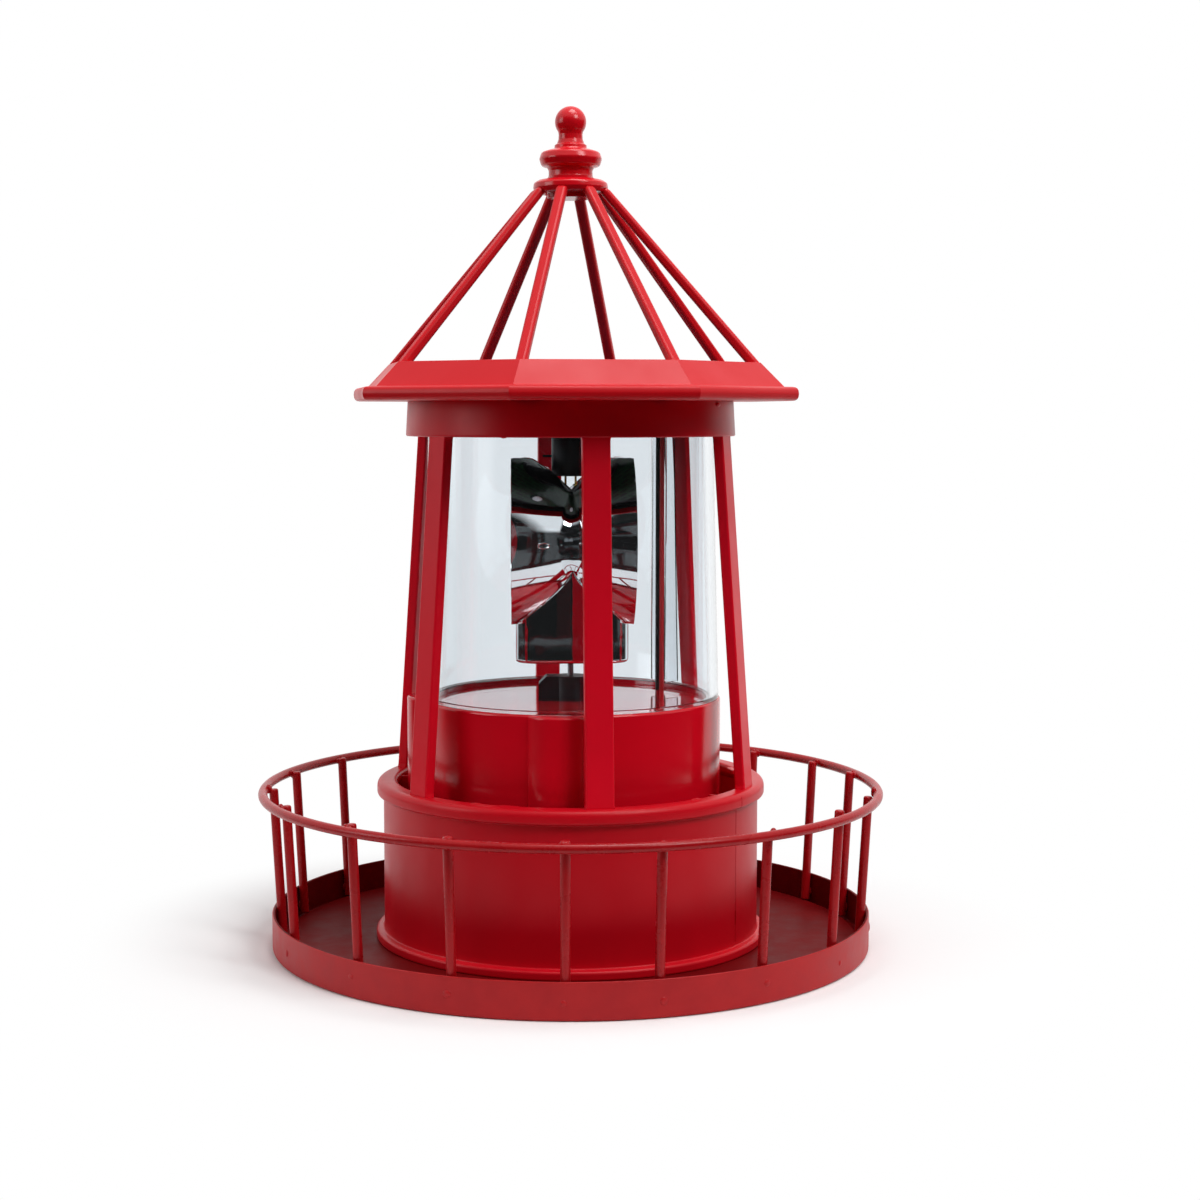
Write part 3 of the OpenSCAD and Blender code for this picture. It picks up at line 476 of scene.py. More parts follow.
def edit_all() -> None:
    """Enters edit mode with the whole mesh selected."""
    bpy.ops.object.mode_set(mode="EDIT")
    bpy.ops.mesh.select_all(action="SELECT")


def chain(name: str, points: Sequence[Spot]) -> Object:
    """Draws a line of edges by extruding one vertex from point to point.

    Args:
        name: Name of the new object.
        points: Corners of the line.

    Returns:
        The object, left in edit mode with everything selected.
    """
    clear()
    bpy.ops.mesh.primitive_plane_add(size=MM)
    obj = bpy.context.object
    obj.name = name
    edit_all()
    bpy.ops.mesh.merge(type="CENTER")
    spots = [Vector(p) * MM for p in points]
    bpy.ops.transform.translate(value=spots[0])
    for before, after in zip(spots, spots[1:]):
        bpy.ops.mesh.extrude_region_move(TRANSFORM_OT_translate={"value": after - before})
    bpy.ops.mesh.select_all(action="SELECT")
    return obj


def lathe(name: str, profile: Sequence[Point], steps: int = 144, start: float = 0.0,
          angle: float = 30.0) -> Object:
    """Spins a profile about the tower's axis.

    Args:
        name: Name of the new object.
        profile: Radius and height of each corner, the last equal to the first if closed.
        steps: Number of segments round the axis.
        start: Direction in degrees at which the first segment stands.
        angle: Edges sharper than this many degrees stay crisp.

    Returns:
        The turned shell.
    """
    obj = chain(name, [at(r, start, z) for r, z in profile])
    bpy.ops.mesh.spin(steps=steps, dupli=False, angle=math.tau, center=(0, 0, 0),
                      axis=(0, 0, 1))
    close_up(obj, angle)
    return obj


def close_up(obj: Object, angle: float = 30.0) -> None:
    """Merges doubled points, turns faces outwards and shades by angle.

    Args:
        obj: The object.
        angle: Edges sharper than this many degrees stay crisp.
    """
    edit_all()
    bpy.ops.mesh.remove_doubles(threshold=0.002 * MM)
    bpy.ops.mesh.dissolve_degenerate(threshold=0.001 * MM)
    bpy.ops.mesh.normals_make_consistent(inside=False)
    shade(obj, angle)


def shade(obj: Object, angle: float = 30.0) -> None:
    """Shades an object smooth, with crisp edges above an angle."""
    pick(obj)
    bpy.ops.object.shade_smooth_by_angle(angle=math.radians(angle))


def prism(name: str, outline: Sequence[Spot], along: Spot, angle: float = 30.0) -> Object:
    """Fills a closed outline and extrudes it.

    Args:
        name: Name of the new object.
        outline: Corners of one end, not repeated.
        along: Way from this end to the other.
        angle: Edges sharper than this many degrees stay crisp.

    Returns:
        The solid.
    """
    obj = chain(name, outline)
    bpy.ops.mesh.edge_face_add()
    bpy.ops.mesh.extrude_region_move(
        TRANSFORM_OT_translate={"value": [a * MM for a in along]})
    close_up(obj, angle)
    return obj


def settle(size: Spot, centre: Spot) -> Object:
    """Stretches and places the mesh of the primitive that was just added.

    Args:
        size: Stretch along each axis.
        centre: Place of its middle.

    Returns:
        The primitive's object.
    """
    edit_all()
    bpy.ops.transform.resize(value=size)
    bpy.ops.transform.translate(value=[c * MM for c in centre])
    bpy.ops.object.mode_set(mode="OBJECT")
    return bpy.context.object


def block(size: Spot, centre: Spot, soft: float = 0.0) -> Object:
    """Adds a block, with its edges rounded if a radius is given.

    Args:
        size: Its three sides.
        centre: Place of its middle.
        soft: Radius of its rounded edges, or 0.

    Returns:
        The block.
    """
    clear()
    bpy.ops.mesh.primitive_cube_add(size=1.0)
    obj = settle([s * MM for s in size], centre)
    if soft:
        round_edges(obj, soft, 2)
    return obj


def pin(radius: float, low: float, high: float, place: Point = (0.0, 0.0),
        sides: int = 64) -> Object:
    """Adds an upright round pin between two heights, as a tool for cuts.

    Args:
        radius: Its radius.
        low: Height of its foot.
        high: Height of its head.
        place: Where it stands.
        sides: Number of its side faces.

    Returns:
        The pin.
    """
    clear()
    bpy.ops.mesh.primitive_cylinder_add(
        vertices=sides, radius=radius * MM, depth=(high - low) * MM,
        location=(place[0] * MM, place[1] * MM, (low + high) / 2 * MM))
    return bpy.context.object


def ball(radius: float, centre: Spot, stretch: Spot = (1, 1, 1), rings: int = 10) -> Object:
    """Adds a ball or a flattened drop.

    Args:
        radius: Its radius.
        centre: Place of its middle.
        stretch: Factor along each axis.
        rings: Rings from pole to pole.

    Returns:
        The ball.
    """
    clear()
    bpy.ops.mesh.primitive_uv_sphere_add(segments=2 * rings, ring_count=rings,
                                         radius=radius * MM)
    obj = settle(stretch, centre)
    shade(obj, 60)
    return obj


def tube(name: str, spots: Sequence[Spot], radius: float, sides: int = 3) -> Object:
    """Makes a round bar along a line of points, with closed ends.

    Args:
        name: Name of the new object.
        spots: Points of the bar's middle line.
        radius: Radius of the bar.
        sides: Fineness of its round section.

    Returns:
        The bar.
    """
    chain(name, spots)
    bpy.ops.object.mode_set(mode="OBJECT")
    bpy.ops.object.convert(target="CURVE")
    curve = bpy.context.object.data
    curve.bevel_depth = radius * MM
    curve.bevel_resolution = sides
    curve.use_fill_caps = True
    bpy.ops.object.convert(target="MESH")
    obj = bpy.context.object
    close_up(obj, 50)
    return obj


def modify(obj: Object, kind: str, **settings: object) -> None:
    """Adds a modifier with its settings and applies it.

    Args:
        obj: The object.
        kind: Blender's name of the modifier's type.
        settings: The modifier's properties.
    """
    pick(obj)
    bpy.ops.object.modifier_add(type=kind)
    modifier = obj.modifiers[-1]
    for key, value in settings.items():
        setattr(modifier, key, value)
    bpy.ops.object.modifier_apply(modifier=modifier.name)


def round_edges(obj: Object, width: float, segments: int = 3, angle: float = 30.0) -> None:
    """Rounds the edges that are sharper than an angle.

    Args:
        obj: The object.
        width: Width of the rounding.
        segments: Faces across it.
        angle: Edges sharper than this many degrees are rounded.
    """
    modify(obj, "BEVEL", width=width * MM, segments=segments, limit_method="ANGLE",
           angle_limit=math.radians(angle), miter_outer="MITER_ARC")
    shade(obj, angle)


def cut(obj: Object, tool: Object, operation: str = "DIFFERENCE") -> None:
    """Joins or cuts one solid with another, which is used up."""
    modify(obj, "BOOLEAN", operation=operation, solver="EXACT", object=tool)
    bpy.data.objects.remove(tool)


def swing(obj: Object, direction: float) -> Object:
    """Turns a piece built towards +X to its direction, in its mesh."""
    obj.data.transform(facing(direction))
    return obj


def ring_of(obj: Object, directions: Iterable[float]) -> list[Object]:
    """Copies a piece built towards +X to several directions, each with its own mesh.

    Args:
        obj: The piece, which is used up.
        directions: Where the copies stand.

    Returns:
        The copies.
    """
    copies = []
    for direction in directions:
        copy = obj.copy()
        copy.data = obj.data.copy()
        bpy.context.collection.objects.link(copy)
        copies.append(swing(copy, direction))
    bpy.data.objects.remove(obj)
    return copies


def join(name: str, objects: Sequence[Object]) -> Object:
    """Joins objects into one piece.

    Args:
        name: Name of the piece.
        objects: Its parts, two or more.

    Returns:
        The piece.
    """
    pick(*objects)
    bpy.ops.object.join()
    bpy.context.object.name = name
    return bpy.context.object


def about_axis(degrees: float) -> Matrix:
    """Gives a turn about the tower's axis."""
    return Matrix.Rotation(math.radians(degrees), 4, "Z")


def at(radius: float, direction: float, height: float = 0.0) -> Spot:
    """Gives the point at a radius and a direction."""
    turn = math.radians(direction)
    return (radius * math.sin(turn), -radius * math.cos(turn), height)


def facing(direction: float) -> Matrix:
    """Turns a piece built towards +X to a direction."""
    return about_axis(direction - 90)


def fillet(points: Sequence[tuple[float, float, float]], steps: int = 5) -> list[Point]:
    """Rounds the corners of an open profile.

    Args:
        points: Radius, height and corner rounding of each corner.
        steps: Segments in each rounded corner.

    Returns:
        Corners of the rounded profile.
    """
    out: list[Point] = []
    for i, (x, y, r) in enumerate(points):
        if r <= 0 or i in (0, len(points) - 1):
            out.append((x, y))
            continue
        here = Vector((x, y))
        back = Vector(points[i - 1][:2]) - here
        on = Vector(points[i + 1][:2]) - here
        half = back.angle(on) / 2
        reach = min(r / math.tan(half), back.length * 0.49, on.length * 0.49)
        a, b = here + back.normalized() * reach, here + on.normalized() * reach
        for k in range(steps + 1):
            t = k / steps
            p = a * (1 - t) ** 2 + here * 2 * t * (1 - t) + b * t ** 2
            out.append((p.x, p.y))
    return out


def dress(obj: Object, skin: Skin, slot: str, *instead_of: str,
          body: str = "lighthouse") -> Object:
    """Gives a finished piece its material and its body, and hides the nodes that it stands in for.

    Args:
        obj: The piece.
        skin: Its finish.
        slot: The record's material slot; not used.
        instead_of: Construction nodes that it stands in for.
        body: The moving body that it rides on.

    Returns:
        The same piece.
    """
    obj.data.materials.clear()
    obj.data.materials.append(skin.material())
    # long walls keep straight normals beside their small fillets, so glass doesn't bend light
    modify(obj, "WEIGHTED_NORMAL", mode="FACE_AREA", weight=50, keep_sharp=True)
    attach(obj, body)
    if instead_of:
        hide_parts(*instead_of)
    LOG.info("piece %s: %d faces", obj.name, len(obj.data.polygons))
    return obj


# ------------ gallery
@dataclass
class Gallery:
    """Pressed tray with its wire railing, welded by hand."""

    radius: float = 75.0
    height: float = 8.9
    sheet: float = 0.8
    hole: float = 41.2
    floor: tuple[float, float] = (1.2, 2.0)
    wire: float = 1.15
    rail_r: float = 76.95
    rail_z: float = 38.9
    foot_r: float = 72.587
    head_r: float = 74.55
    foot_z: float = 2.1
    # how far each baluster passes the rail, and how far it strays from its even place
    over: tuple[float, ...] = (1.3, -1.0, -1.0, 1.6, -1.0, 1.0, 0.6, 0.4, 0.7, 0.5, 0.6, 0.4, 0.7,
                               0.5, 0.2, 1.1, 1.4, 1.2)
    drift: tuple[float, ...] = (0, -3.4, -2.6, -1.7, 4.9, 3.9, 0, -2.1, 0, 0, 0, -1, -2.7, -4.7,
                                -6.1, -4, -0.8, -0.4)
    first: float = -9.4
    marks_z: float = 4.3
    welds_z: float = 4.4

    def directions(self) -> list[float]:
        """Gives the direction of each baluster."""
        count = len(self.drift)
        return [self.first + 360 * k / count + d for k, d in enumerate(self.drift)]

    def tray(self) -> Object:
        """Builds the tray: folded foot, flat floor, straight wall and spot-weld marks.

        Returns:
            The tray.
        """
        r, t, h = self.radius, self.sheet, self.height
        low, top = self.floor
        shell = lathe("gallery_tray_sheet", fillet([
            (self.hole, (low + top) / 2, 0), (self.hole, low, 0.2), (71.6, low, 0.6),
            (72.3, 0.0, 0.5), (r, 0.0, 0.8), (r, h, 0.25), (r - t, h, 0.25),
            (r - t, t, 0.6), (72.8, t, 0.5), (72.1, top, 0.5),
            (self.hole, top, 0.2), (self.hole, (low + top) / 2, 0)]), 192)
        marks = []
        rng = random.Random(4)
        for direction in self.directions():
            z = self.marks_z + rng.uniform(-0.5, 0.9)
            size = rng.uniform(0.75, 1.15)
            mark = ball(size, (r - 0.05, 0, z), (0.32, 1.0, rng.uniform(0.8, 1.2)), 8)
            marks.append(swing(mark, direction + rng.uniform(-0.4, 0.4)))
        return join("tray", [shell, *marks])

    def line(self, tray: Object) -> None:
        """Gives the faces inside the dish the darker enamel, as painted shade.

        Args:
            tray: The tray.
        """
        # the second slot holds the enamel painted darker, as painted shade inside the dish
        tray.data.materials.append(Skin.POOL.material())
        for face in tray.data.polygons:
            out = Vector((face.center.x, face.center.y, 0.0))
            if out.length < (self.radius - self.sheet / 2) * MM and (
                    face.normal.z > 0.3 or face.normal.dot(out.normalized()) < -0.5):
                face.material_index = 1

    def ring(self) -> Object:
        """Builds the rail: a ring of wire.

        Returns:
            The rail.
        """
        clear()
        bpy.ops.mesh.primitive_torus_add(major_radius=self.rail_r * MM, major_segments=192,
                                         minor_radius=self.wire * MM, minor_segments=20)
        ring = settle((1, 1, 1), (0, 0, self.rail_z))
        ring.name = "rail"
        shade(ring, 60)
        return ring

    def baluster(self, over: float) -> Object:
        """Builds a baluster at +X, a cut wire with soft ends, that passes the rail a little.

        Args:
            over: How far its head passes the rail.

        Returns:
            The baluster.
        """
        rise = self.rail_z - self.foot_z
        lean = math.atan((self.head_r - self.foot_r) / rise)
        length = (rise + over) / math.cos(lean)
        w = self.wire
        rod = lathe("baluster", fillet([(0, 0, 0), (w, 0, 0.25), (w, length, 0.8),
                    (0, length, 0)], 4), 20, angle=50)
        foot = Matrix.Translation((self.foot_r * MM, 0, (self.foot_z + w * math.sin(lean)) * MM))
        rod.data.transform(foot @ Matrix.Rotation(lean, 4, "Y"))
        return rod

    def welds(self) -> Object:
        """Builds the weld beads between balusters, rail and wall.

        Returns:
            The beads as one piece.
        """
        rng = random.Random(11)
        beads = []
        mid = (self.rail_r + self.head_r) / 2
        for direction in self.directions():
            for side in (-1, 1):
                drop = ball(0.85, (mid + rng.uniform(-0.1, 0.1),
                            side * rng.uniform(0.35, 0.75),
                            self.rail_z + rng.uniform(-0.5, 0.6)),
                            (0.8, rng.uniform(0.8, 1.2), rng.uniform(0.9, 1.4)), 6)
                beads.append(swing(drop, direction))
            drop = ball(0.8, (self.foot_r + self.wire + 0.15, 0,
                        self.welds_z + rng.uniform(-0.4, 0.8)), (0.45, 1.1, 1.6), 6)
            beads.append(swing(drop, direction))
        return join("weld_beads", beads)

    def build(self) -> None:
        """Builds and dresses the gallery."""
        # inside the dish the enamel is painted darker, as painted shade
        self.line(dress(self.tray(), Skin.TRAY, "tray_paint", "gallery_tray"))
        dress(self.ring(), Skin.RAIL, "rail_paint", "rail_ring")
        rods = [swing(self.baluster(over), direction)
                for direction, over in zip(self.directions(), self.over)]
        dress(join("balusters", rods), Skin.RAIL, "rail_paint", "rail_balusters")
        dress(self.welds(), Skin.RAIL, "rail_paint")


# ------------ tower
@dataclass
class Tower:
    """Moulded drum, window posts and top band."""

    wall: float = 47.0
    inside: float = 45.4
    top: float = 41.8
    rim: float = 3.6
    rim_out: float = 48.6
    rim_in: float = 43.6
    foot: tuple[float, float] = (49.0, 4.2)
    ledge: tuple[float, float, float] = (41.4, 3.6, 5.4)
    webs: tuple[float, ...] = (-107, 49.5)
    tabs: tuple[float, ...] = (-28, 97)
    seams: tuple[float, ...] = (-130.5, 49.5)
    post_w: float = 6.6
    post_d: float = 2.6
    post_foot: float = 46.8
    post_head: float = 40.6
    band_z: float = 127.3
    band_top: float = 135.9
    band_r: float = 40.9
    band_in: float = 39.0

    def drum(self) -> Object:
        """Builds the drum with its rim, bead, ledge and moulding marks.

        Returns:
            The drum.
        """
        z, under = self.top, self.top - self.rim
        bead, bead_top = self.foot
        ledge, ledge_low, ledge_top = self.ledge
        shell = lathe("drum_shell", fillet([
            (self.inside, 20, 0), (self.inside, ledge_top, 0.3), (ledge, ledge_top, 0.3),
            (ledge, ledge_low, 0.3), (self.inside, ledge_low, 0), (self.inside, 2.0, 0),
            (bead, 2.0, 0.5), (bead, bead_top, 0.9), (self.wall + 0.12, bead_top + 0.15, 0.4),
            (self.wall, 6.0, 0), (self.wall, under, 0.35), (self.rim_out, under, 1.6),
            (self.rim_out, z, 1.9), (self.rim_in, z, 1.1),
            (self.rim_in, z - self.rim * 0.55, 0.5), (self.inside, under, 0.4),
            (self.inside, 20, 0)], 7), 192)
        extras = [swing(block((5.7, 1.2, 5), (42.6, 0, z - 3.5), 0.2), direction)
                  for direction in self.webs]
        extras += [swing(block((2.2, 5, 1.2), (43.6, 0, z - 0.75), 0.3), direction)
                   for direction in self.tabs]
        # where the mould's halves met: a hairline gap up the wall and over the rim
        for direction in self.seams:
            for width, out, low, high in ((0.22, self.wall - 0.3, 5.2, under - 0.2),
                                          (0.18, self.rim_out - 0.25, under + 0.4, z - 0.6),
                                          (0.5, self.wall - 0.45, 9.5, 13.0)):
                slit = block((4, width, high - low), (out + 2, 0, (low + high) / 2))
                cut(shell, swing(slit, direction))
        shade(shell, 30)
        extras += [swing(ball(1.0, (out, 0, height), (0.35, 1.7, 0.55), 8), direction)
                   for direction, out, height in ((-46, self.wall, 33.0), (33, 44.6, z - 0.25),
                                                  (-38, 44.4, z - 0.35), (140, self.wall, 30.0))]
        return join("drum_moulding", [shell, *extras])

    def post(self) -> Object:
        """Builds one post at +X: a flat bar that leans in, barely wider where it ends.

        Returns:
            The post.
        """
        low, high = self.top - 0.4, self.band_z + 0.5
        rise = (self.post_foot - self.post_head) / (self.band_z - self.top)
        half = self.post_w / 2
        sides = fillet([(half + 0.25, high, 0), (half, high - 1.1, 0.4),
                        (half + 0.05, self.top + 0.9, 0.4), (half + 0.35, low, 0)], 4)
        outline = sides + [(-y, z) for y, z in reversed(sides)]
        bar = prism("post", [(0, y, z) for y, z in outline], (-self.post_d, 0, 0))
        round_edges(bar, 0.4, 3, 40)
        lean = Matrix(((1, 0, -rise, (self.post_foot + rise * self.top) * MM), (0, 1, 0, 0),
                       (0, 0, 1, 0), (0, 0, 0, 1)))
        bar.data.transform(lean)
        return bar

    def band(self) -> Object:
        """Builds the band with its lower edge standing a little proud, and flash nubs.

        Returns:
            The band.
        """
        z0, z1 = self.band_z, self.band_top
        shell = lathe("band_shell", fillet([
            (self.band_in, 131, 0), (self.band_in, z0, 0.3), (self.band_r, z0, 0.5),
            (self.band_r - 0.5, z1, 0.1), (self.band_in, z1, 0.1),
            (self.band_in, 131, 0)], 5), 160)
        nubs = [swing(ball(0.75, (self.band_r - 0.4, 0, height), (0.5, 1.5, 0.8), 7),
                      direction)
                for direction, height in ((-31, z0 + 0.4), (52, z1 - 0.9), (161, z0))]
        return join("band", [shell, *nubs])

    def build(self) -> None:
        """Builds and dresses the tower."""
        dress(self.drum(), Skin.TOWER, "tower_plastic", "drum")
        posts = ring_of(self.post(), range(0, 360, 60))
        # the posts wear the tower's plastic painted lighter, as painted light from above
        dress(join("posts", posts), Skin.POST, "tower_plastic", "window_posts")
        dress(self.band(), Skin.TOWER, "tower_plastic", "top_band")


# ------------ roof
@dataclass
class Roof:
    """Eight-sided skirt, ribs and turned finial."""

    brim: float = 135.9
    edge_top: float = 139.3
    top: float = 145.2
    top_r: float = 47.55
    slope: float = 0.884
    eave_r: float = 57.0
    hole: float = 38.7
    corner: float = 22.5
    rib_w: float = 2.7
    rib_t: float = 3.1
    cage: float = 187.1
    ball: tuple[float, float] = (204.2, 3.86)
    # radius, height and rounding from the hub's disc up to the ball
    turning: tuple[tuple[float, float, float], ...] = (
        (0, 185.6, 0), (5.7, 185.6, 0.3), (5.7, 186.9, 0.2), (8.7, 186.9, 0.6),
        (9.25, 188.1, 0.7), (9.1, 189.3, 0.8), (8.0, 190.0, 0.7), (6.0, 190.2, 0.5),
        (5.45, 191.0, 0.6), (5.4, 192.3, 0.6), (5.8, 193.1, 0.35), (7.2, 193.5, 0.9),
        (7.75, 195.2, 1.1), (7.2, 196.8, 1.0), (5.4, 197.4, 0.5), (4.2, 197.6, 0.2),
        (4.0, 197.9, 0.25), (3.95, 198.6, 0.3), (3.4, 198.9, 0.35), (3.0, 200.0, 0.9),
        (2.95, 201.2, 0.5), (3.05, 201.8, 0.3))

    def skirt(self) -> Object:
        """Builds the skirt: stepped eave and sloping wall, eight sides with soft corners.

        Returns:
            The skirt.
        """
        foot = self.top_r + self.slope * (self.top - self.edge_top)
        hole = self.hole / math.cos(math.radians(self.corner))
        shell = lathe("skirt", fillet([
            (hole, 136.6, 0), (hole, self.brim, 0), (self.eave_r, self.brim, 1.6),
            (self.eave_r, self.edge_top, 1.6), (foot + 0.7, self.edge_top, 0.35),
            (self.top_r, self.top, 0.3), (self.top_r - 2.3, self.top, 0.3),
            (foot - 2.3, self.edge_top - 1.0, 0.6), (foot - 3.4, 137.5, 0.5),
            (hole, 137.5, 0.1), (hole, 136.6, 0)], 4), 8, self.corner)
        round_edges(shell, 0.45, 3, 28)
        return shell

    def rib(self) -> Object:
        """Builds one rib at +X: a round-edged bar from the skirt to the hub.

        Returns:
            The rib.
        """
        inner = self.top_r - self.slope * (self.cage - self.top)
        side = [(self.top_r + 0.2, self.top - 0.6), (self.top_r - self.rib_t, self.top - 0.6),
                (inner - self.rib_t - 0.6, self.cage + 0.6), (inner - 1.3, self.cage + 0.9),
                (inner - 0.5, self.cage + 0.2)]
        bar = prism("rib", [(x, -self.rib_w / 2, z) for x, z in side], (0, self.rib_w, 0))
        round_edges(bar, 0.75, 4, 40)
        return bar

    def finial(self) -> Object:
        """Builds the finial as one turned piece, from the hub's disc to the ball.

        Returns:
            The finial.
        """
        profile = fillet(self.turning, 5)
        centre, radius = self.ball
        first = -math.acos(3.1 / radius)
        for k in range(1, 25):
            turn = first + (math.pi / 2 - first) * k / 24
            profile.append((radius * math.cos(turn) if k < 24 else 0.0,
                            centre + radius * math.sin(turn)))
        return lathe("finial_turning", profile, 72, angle=50)

    def build(self) -> None:
        """Builds and dresses the roof."""
        dress(self.skirt(), Skin.ROOF, "roof_plastic", "roof_skirt")
        ribs = ring_of(self.rib(), [self.corner + 45 * k for k in range(8)])
        dress(join("ribs", ribs), Skin.ROOF, "roof_plastic", "roof_ribs")
        dress(self.finial(), Skin.FINIAL, "roof_plastic", "finial")


# ------------ lantern
@dataclass
class Lantern:
    """Cup, clear cylinder and floor disc."""

    cup_r: float = 37.5
    bulge_r: float = 8.65
    well_at: float = 32.4
    wells: tuple[float, float] = (-12.5, -98.5)
    well_r: float = 7.45
    top: float = 62.3
    seat: float = 59.8
    low: float = 3.4
    inner: float = 36.2
    bore: float = 35.4
    tube_low: float = 5.6
    ceiling: float = 58.3
    bosses: tuple[Point, ...] = ((33.2, -55.5), (31.8, 70), (31.8, 170))
    # radius, foot and head of each boss; outer radius, underside and top of the flange
    boss: Spot = (2.6, 3.6, 11.6)
    flange: Spot = (44.9, 2.0, 3.6)
    duct: Point = (30.8, 121.5)

    def outline(self) -> list[Spot]:
        """Gives the cup's outline: the round wall with two bulges.

        Returns:
            Its corners at the wall's lower edge.
        """
        out: list[Spot] = []
        for angle in range(-180, 180):
            radius = self.cup_r
            for well in self.wells:
                off = math.radians(angle - well)
                side = self.well_at * math.sin(off)
                if abs(side) < self.bulge_r and math.cos(off) > 0:
                    radius = max(radius, self.well_at * math.cos(off)
                                 + math.sqrt(self.bulge_r ** 2 - side ** 2))
            out.append(at(radius, angle, self.low))
        return out

    def cup(self) -> Object:
        """Builds the glossy cup with its flange, bulges and rounded rim.

        Returns:
            The cup.
        """
        solid = prism("cup", self.outline(), (0, 0, self.top - self.low), 25)
        round_edges(solid, 0.6, 4, 50)
        cut(solid, lathe("room", [(0, self.seat), (self.inner, self.seat),
                                  (self.inner, 70), (0, 70)]))
        edge, under, over = self.flange
        cut(solid, lathe("flange", fillet([
            (36.6, 2.6, 0), (36.6, under, 0.1), (edge, under, 0.3), (edge, over, 0.3),
            (36.6, over, 0.1), (36.6, 2.6, 0)])), "UNION")
        # below it is open, with a tube for each battery and bosses for the screws
        hollow = pin(self.bore, 1.0, self.ceiling)
        places = [at(self.well_at, well)[:2] for well in self.wells]
        for place in places:
            cut(hollow, pin(self.bulge_r, self.tube_low, self.ceiling + 1, place))
        for spot in self.bosses:
            cut(hollow, pin(*self.boss, at(*spot)[:2]))
        cut(solid, hollow)
        for place in places:
            cut(solid, pin(self.well_r, 1.0, self.ceiling, place))
        shade(solid, 25)
        return solid

    def cylinder(self) -> Object:
        """Builds the clear cylinder: foot, lip, drawn-in wall and the wire duct's ribs.

        Returns:
            The cylinder.
        """
        shell = lathe("clear_cylinder", fillet([
            (34.0, 61, 0), (34.0, self.seat, 0.2), (36.0, self.seat, 0.2), (36.0, self.top, 0.1),
            (37.1, self.top, 0.3), (35.3, 135.0, 0.3), (33.3, 135.0, 0.3),
            (35.1, self.top + 0.6, 0.3), (34.0, self.top + 0.6, 0.2), (34.0, 61, 0)], 4), 192)
        for side in (-1, 1):
            y = side * 2.55 - 0.45
            rib = prism("duct_rib", [(30.2, y, 63.4), (35.6, y, 63.4), (34.2, y, 133.8),
                                     (30.2, y, 133.8)], (0, 0.9, 0))
            round_edges(rib, 0.25, 2)
            cut(shell, swing(rib, self.duct[1]), "UNION")
        shade(shell, 30)
        return shell

    def floor(self) -> Object:
        """Builds the glossy floor disc with its soft edge and holes.

        Returns:
            The disc.
        """
        hole, edge, low, high = 1.35, 33.8, self.seat, self.seat + 1.5
        disc = lathe("lantern_floor", fillet([
            (hole, low + 0.7, 0), (hole, low, 0.1), (edge, low, 0.2), (edge, high, 0.4),
            (hole, high, 0.2), (hole, low + 0.7, 0)], 4))
        cut(disc, pin(1.95, 57.0, 63.0, at(*self.duct)[:2], 32))
        shade(disc, 30)
        return disc

    def build(self) -> None:
        """Builds and dresses the lantern."""
        dress(self.cup(), Skin.CUP, "cup_plastic", "lamp_cup")
        dress(self.cylinder(), Skin.CLEAR, "clear_plastic", "lens_cylinder")
        dress(self.floor(), Skin.FLOOR, "cup_plastic", "floor_disc")


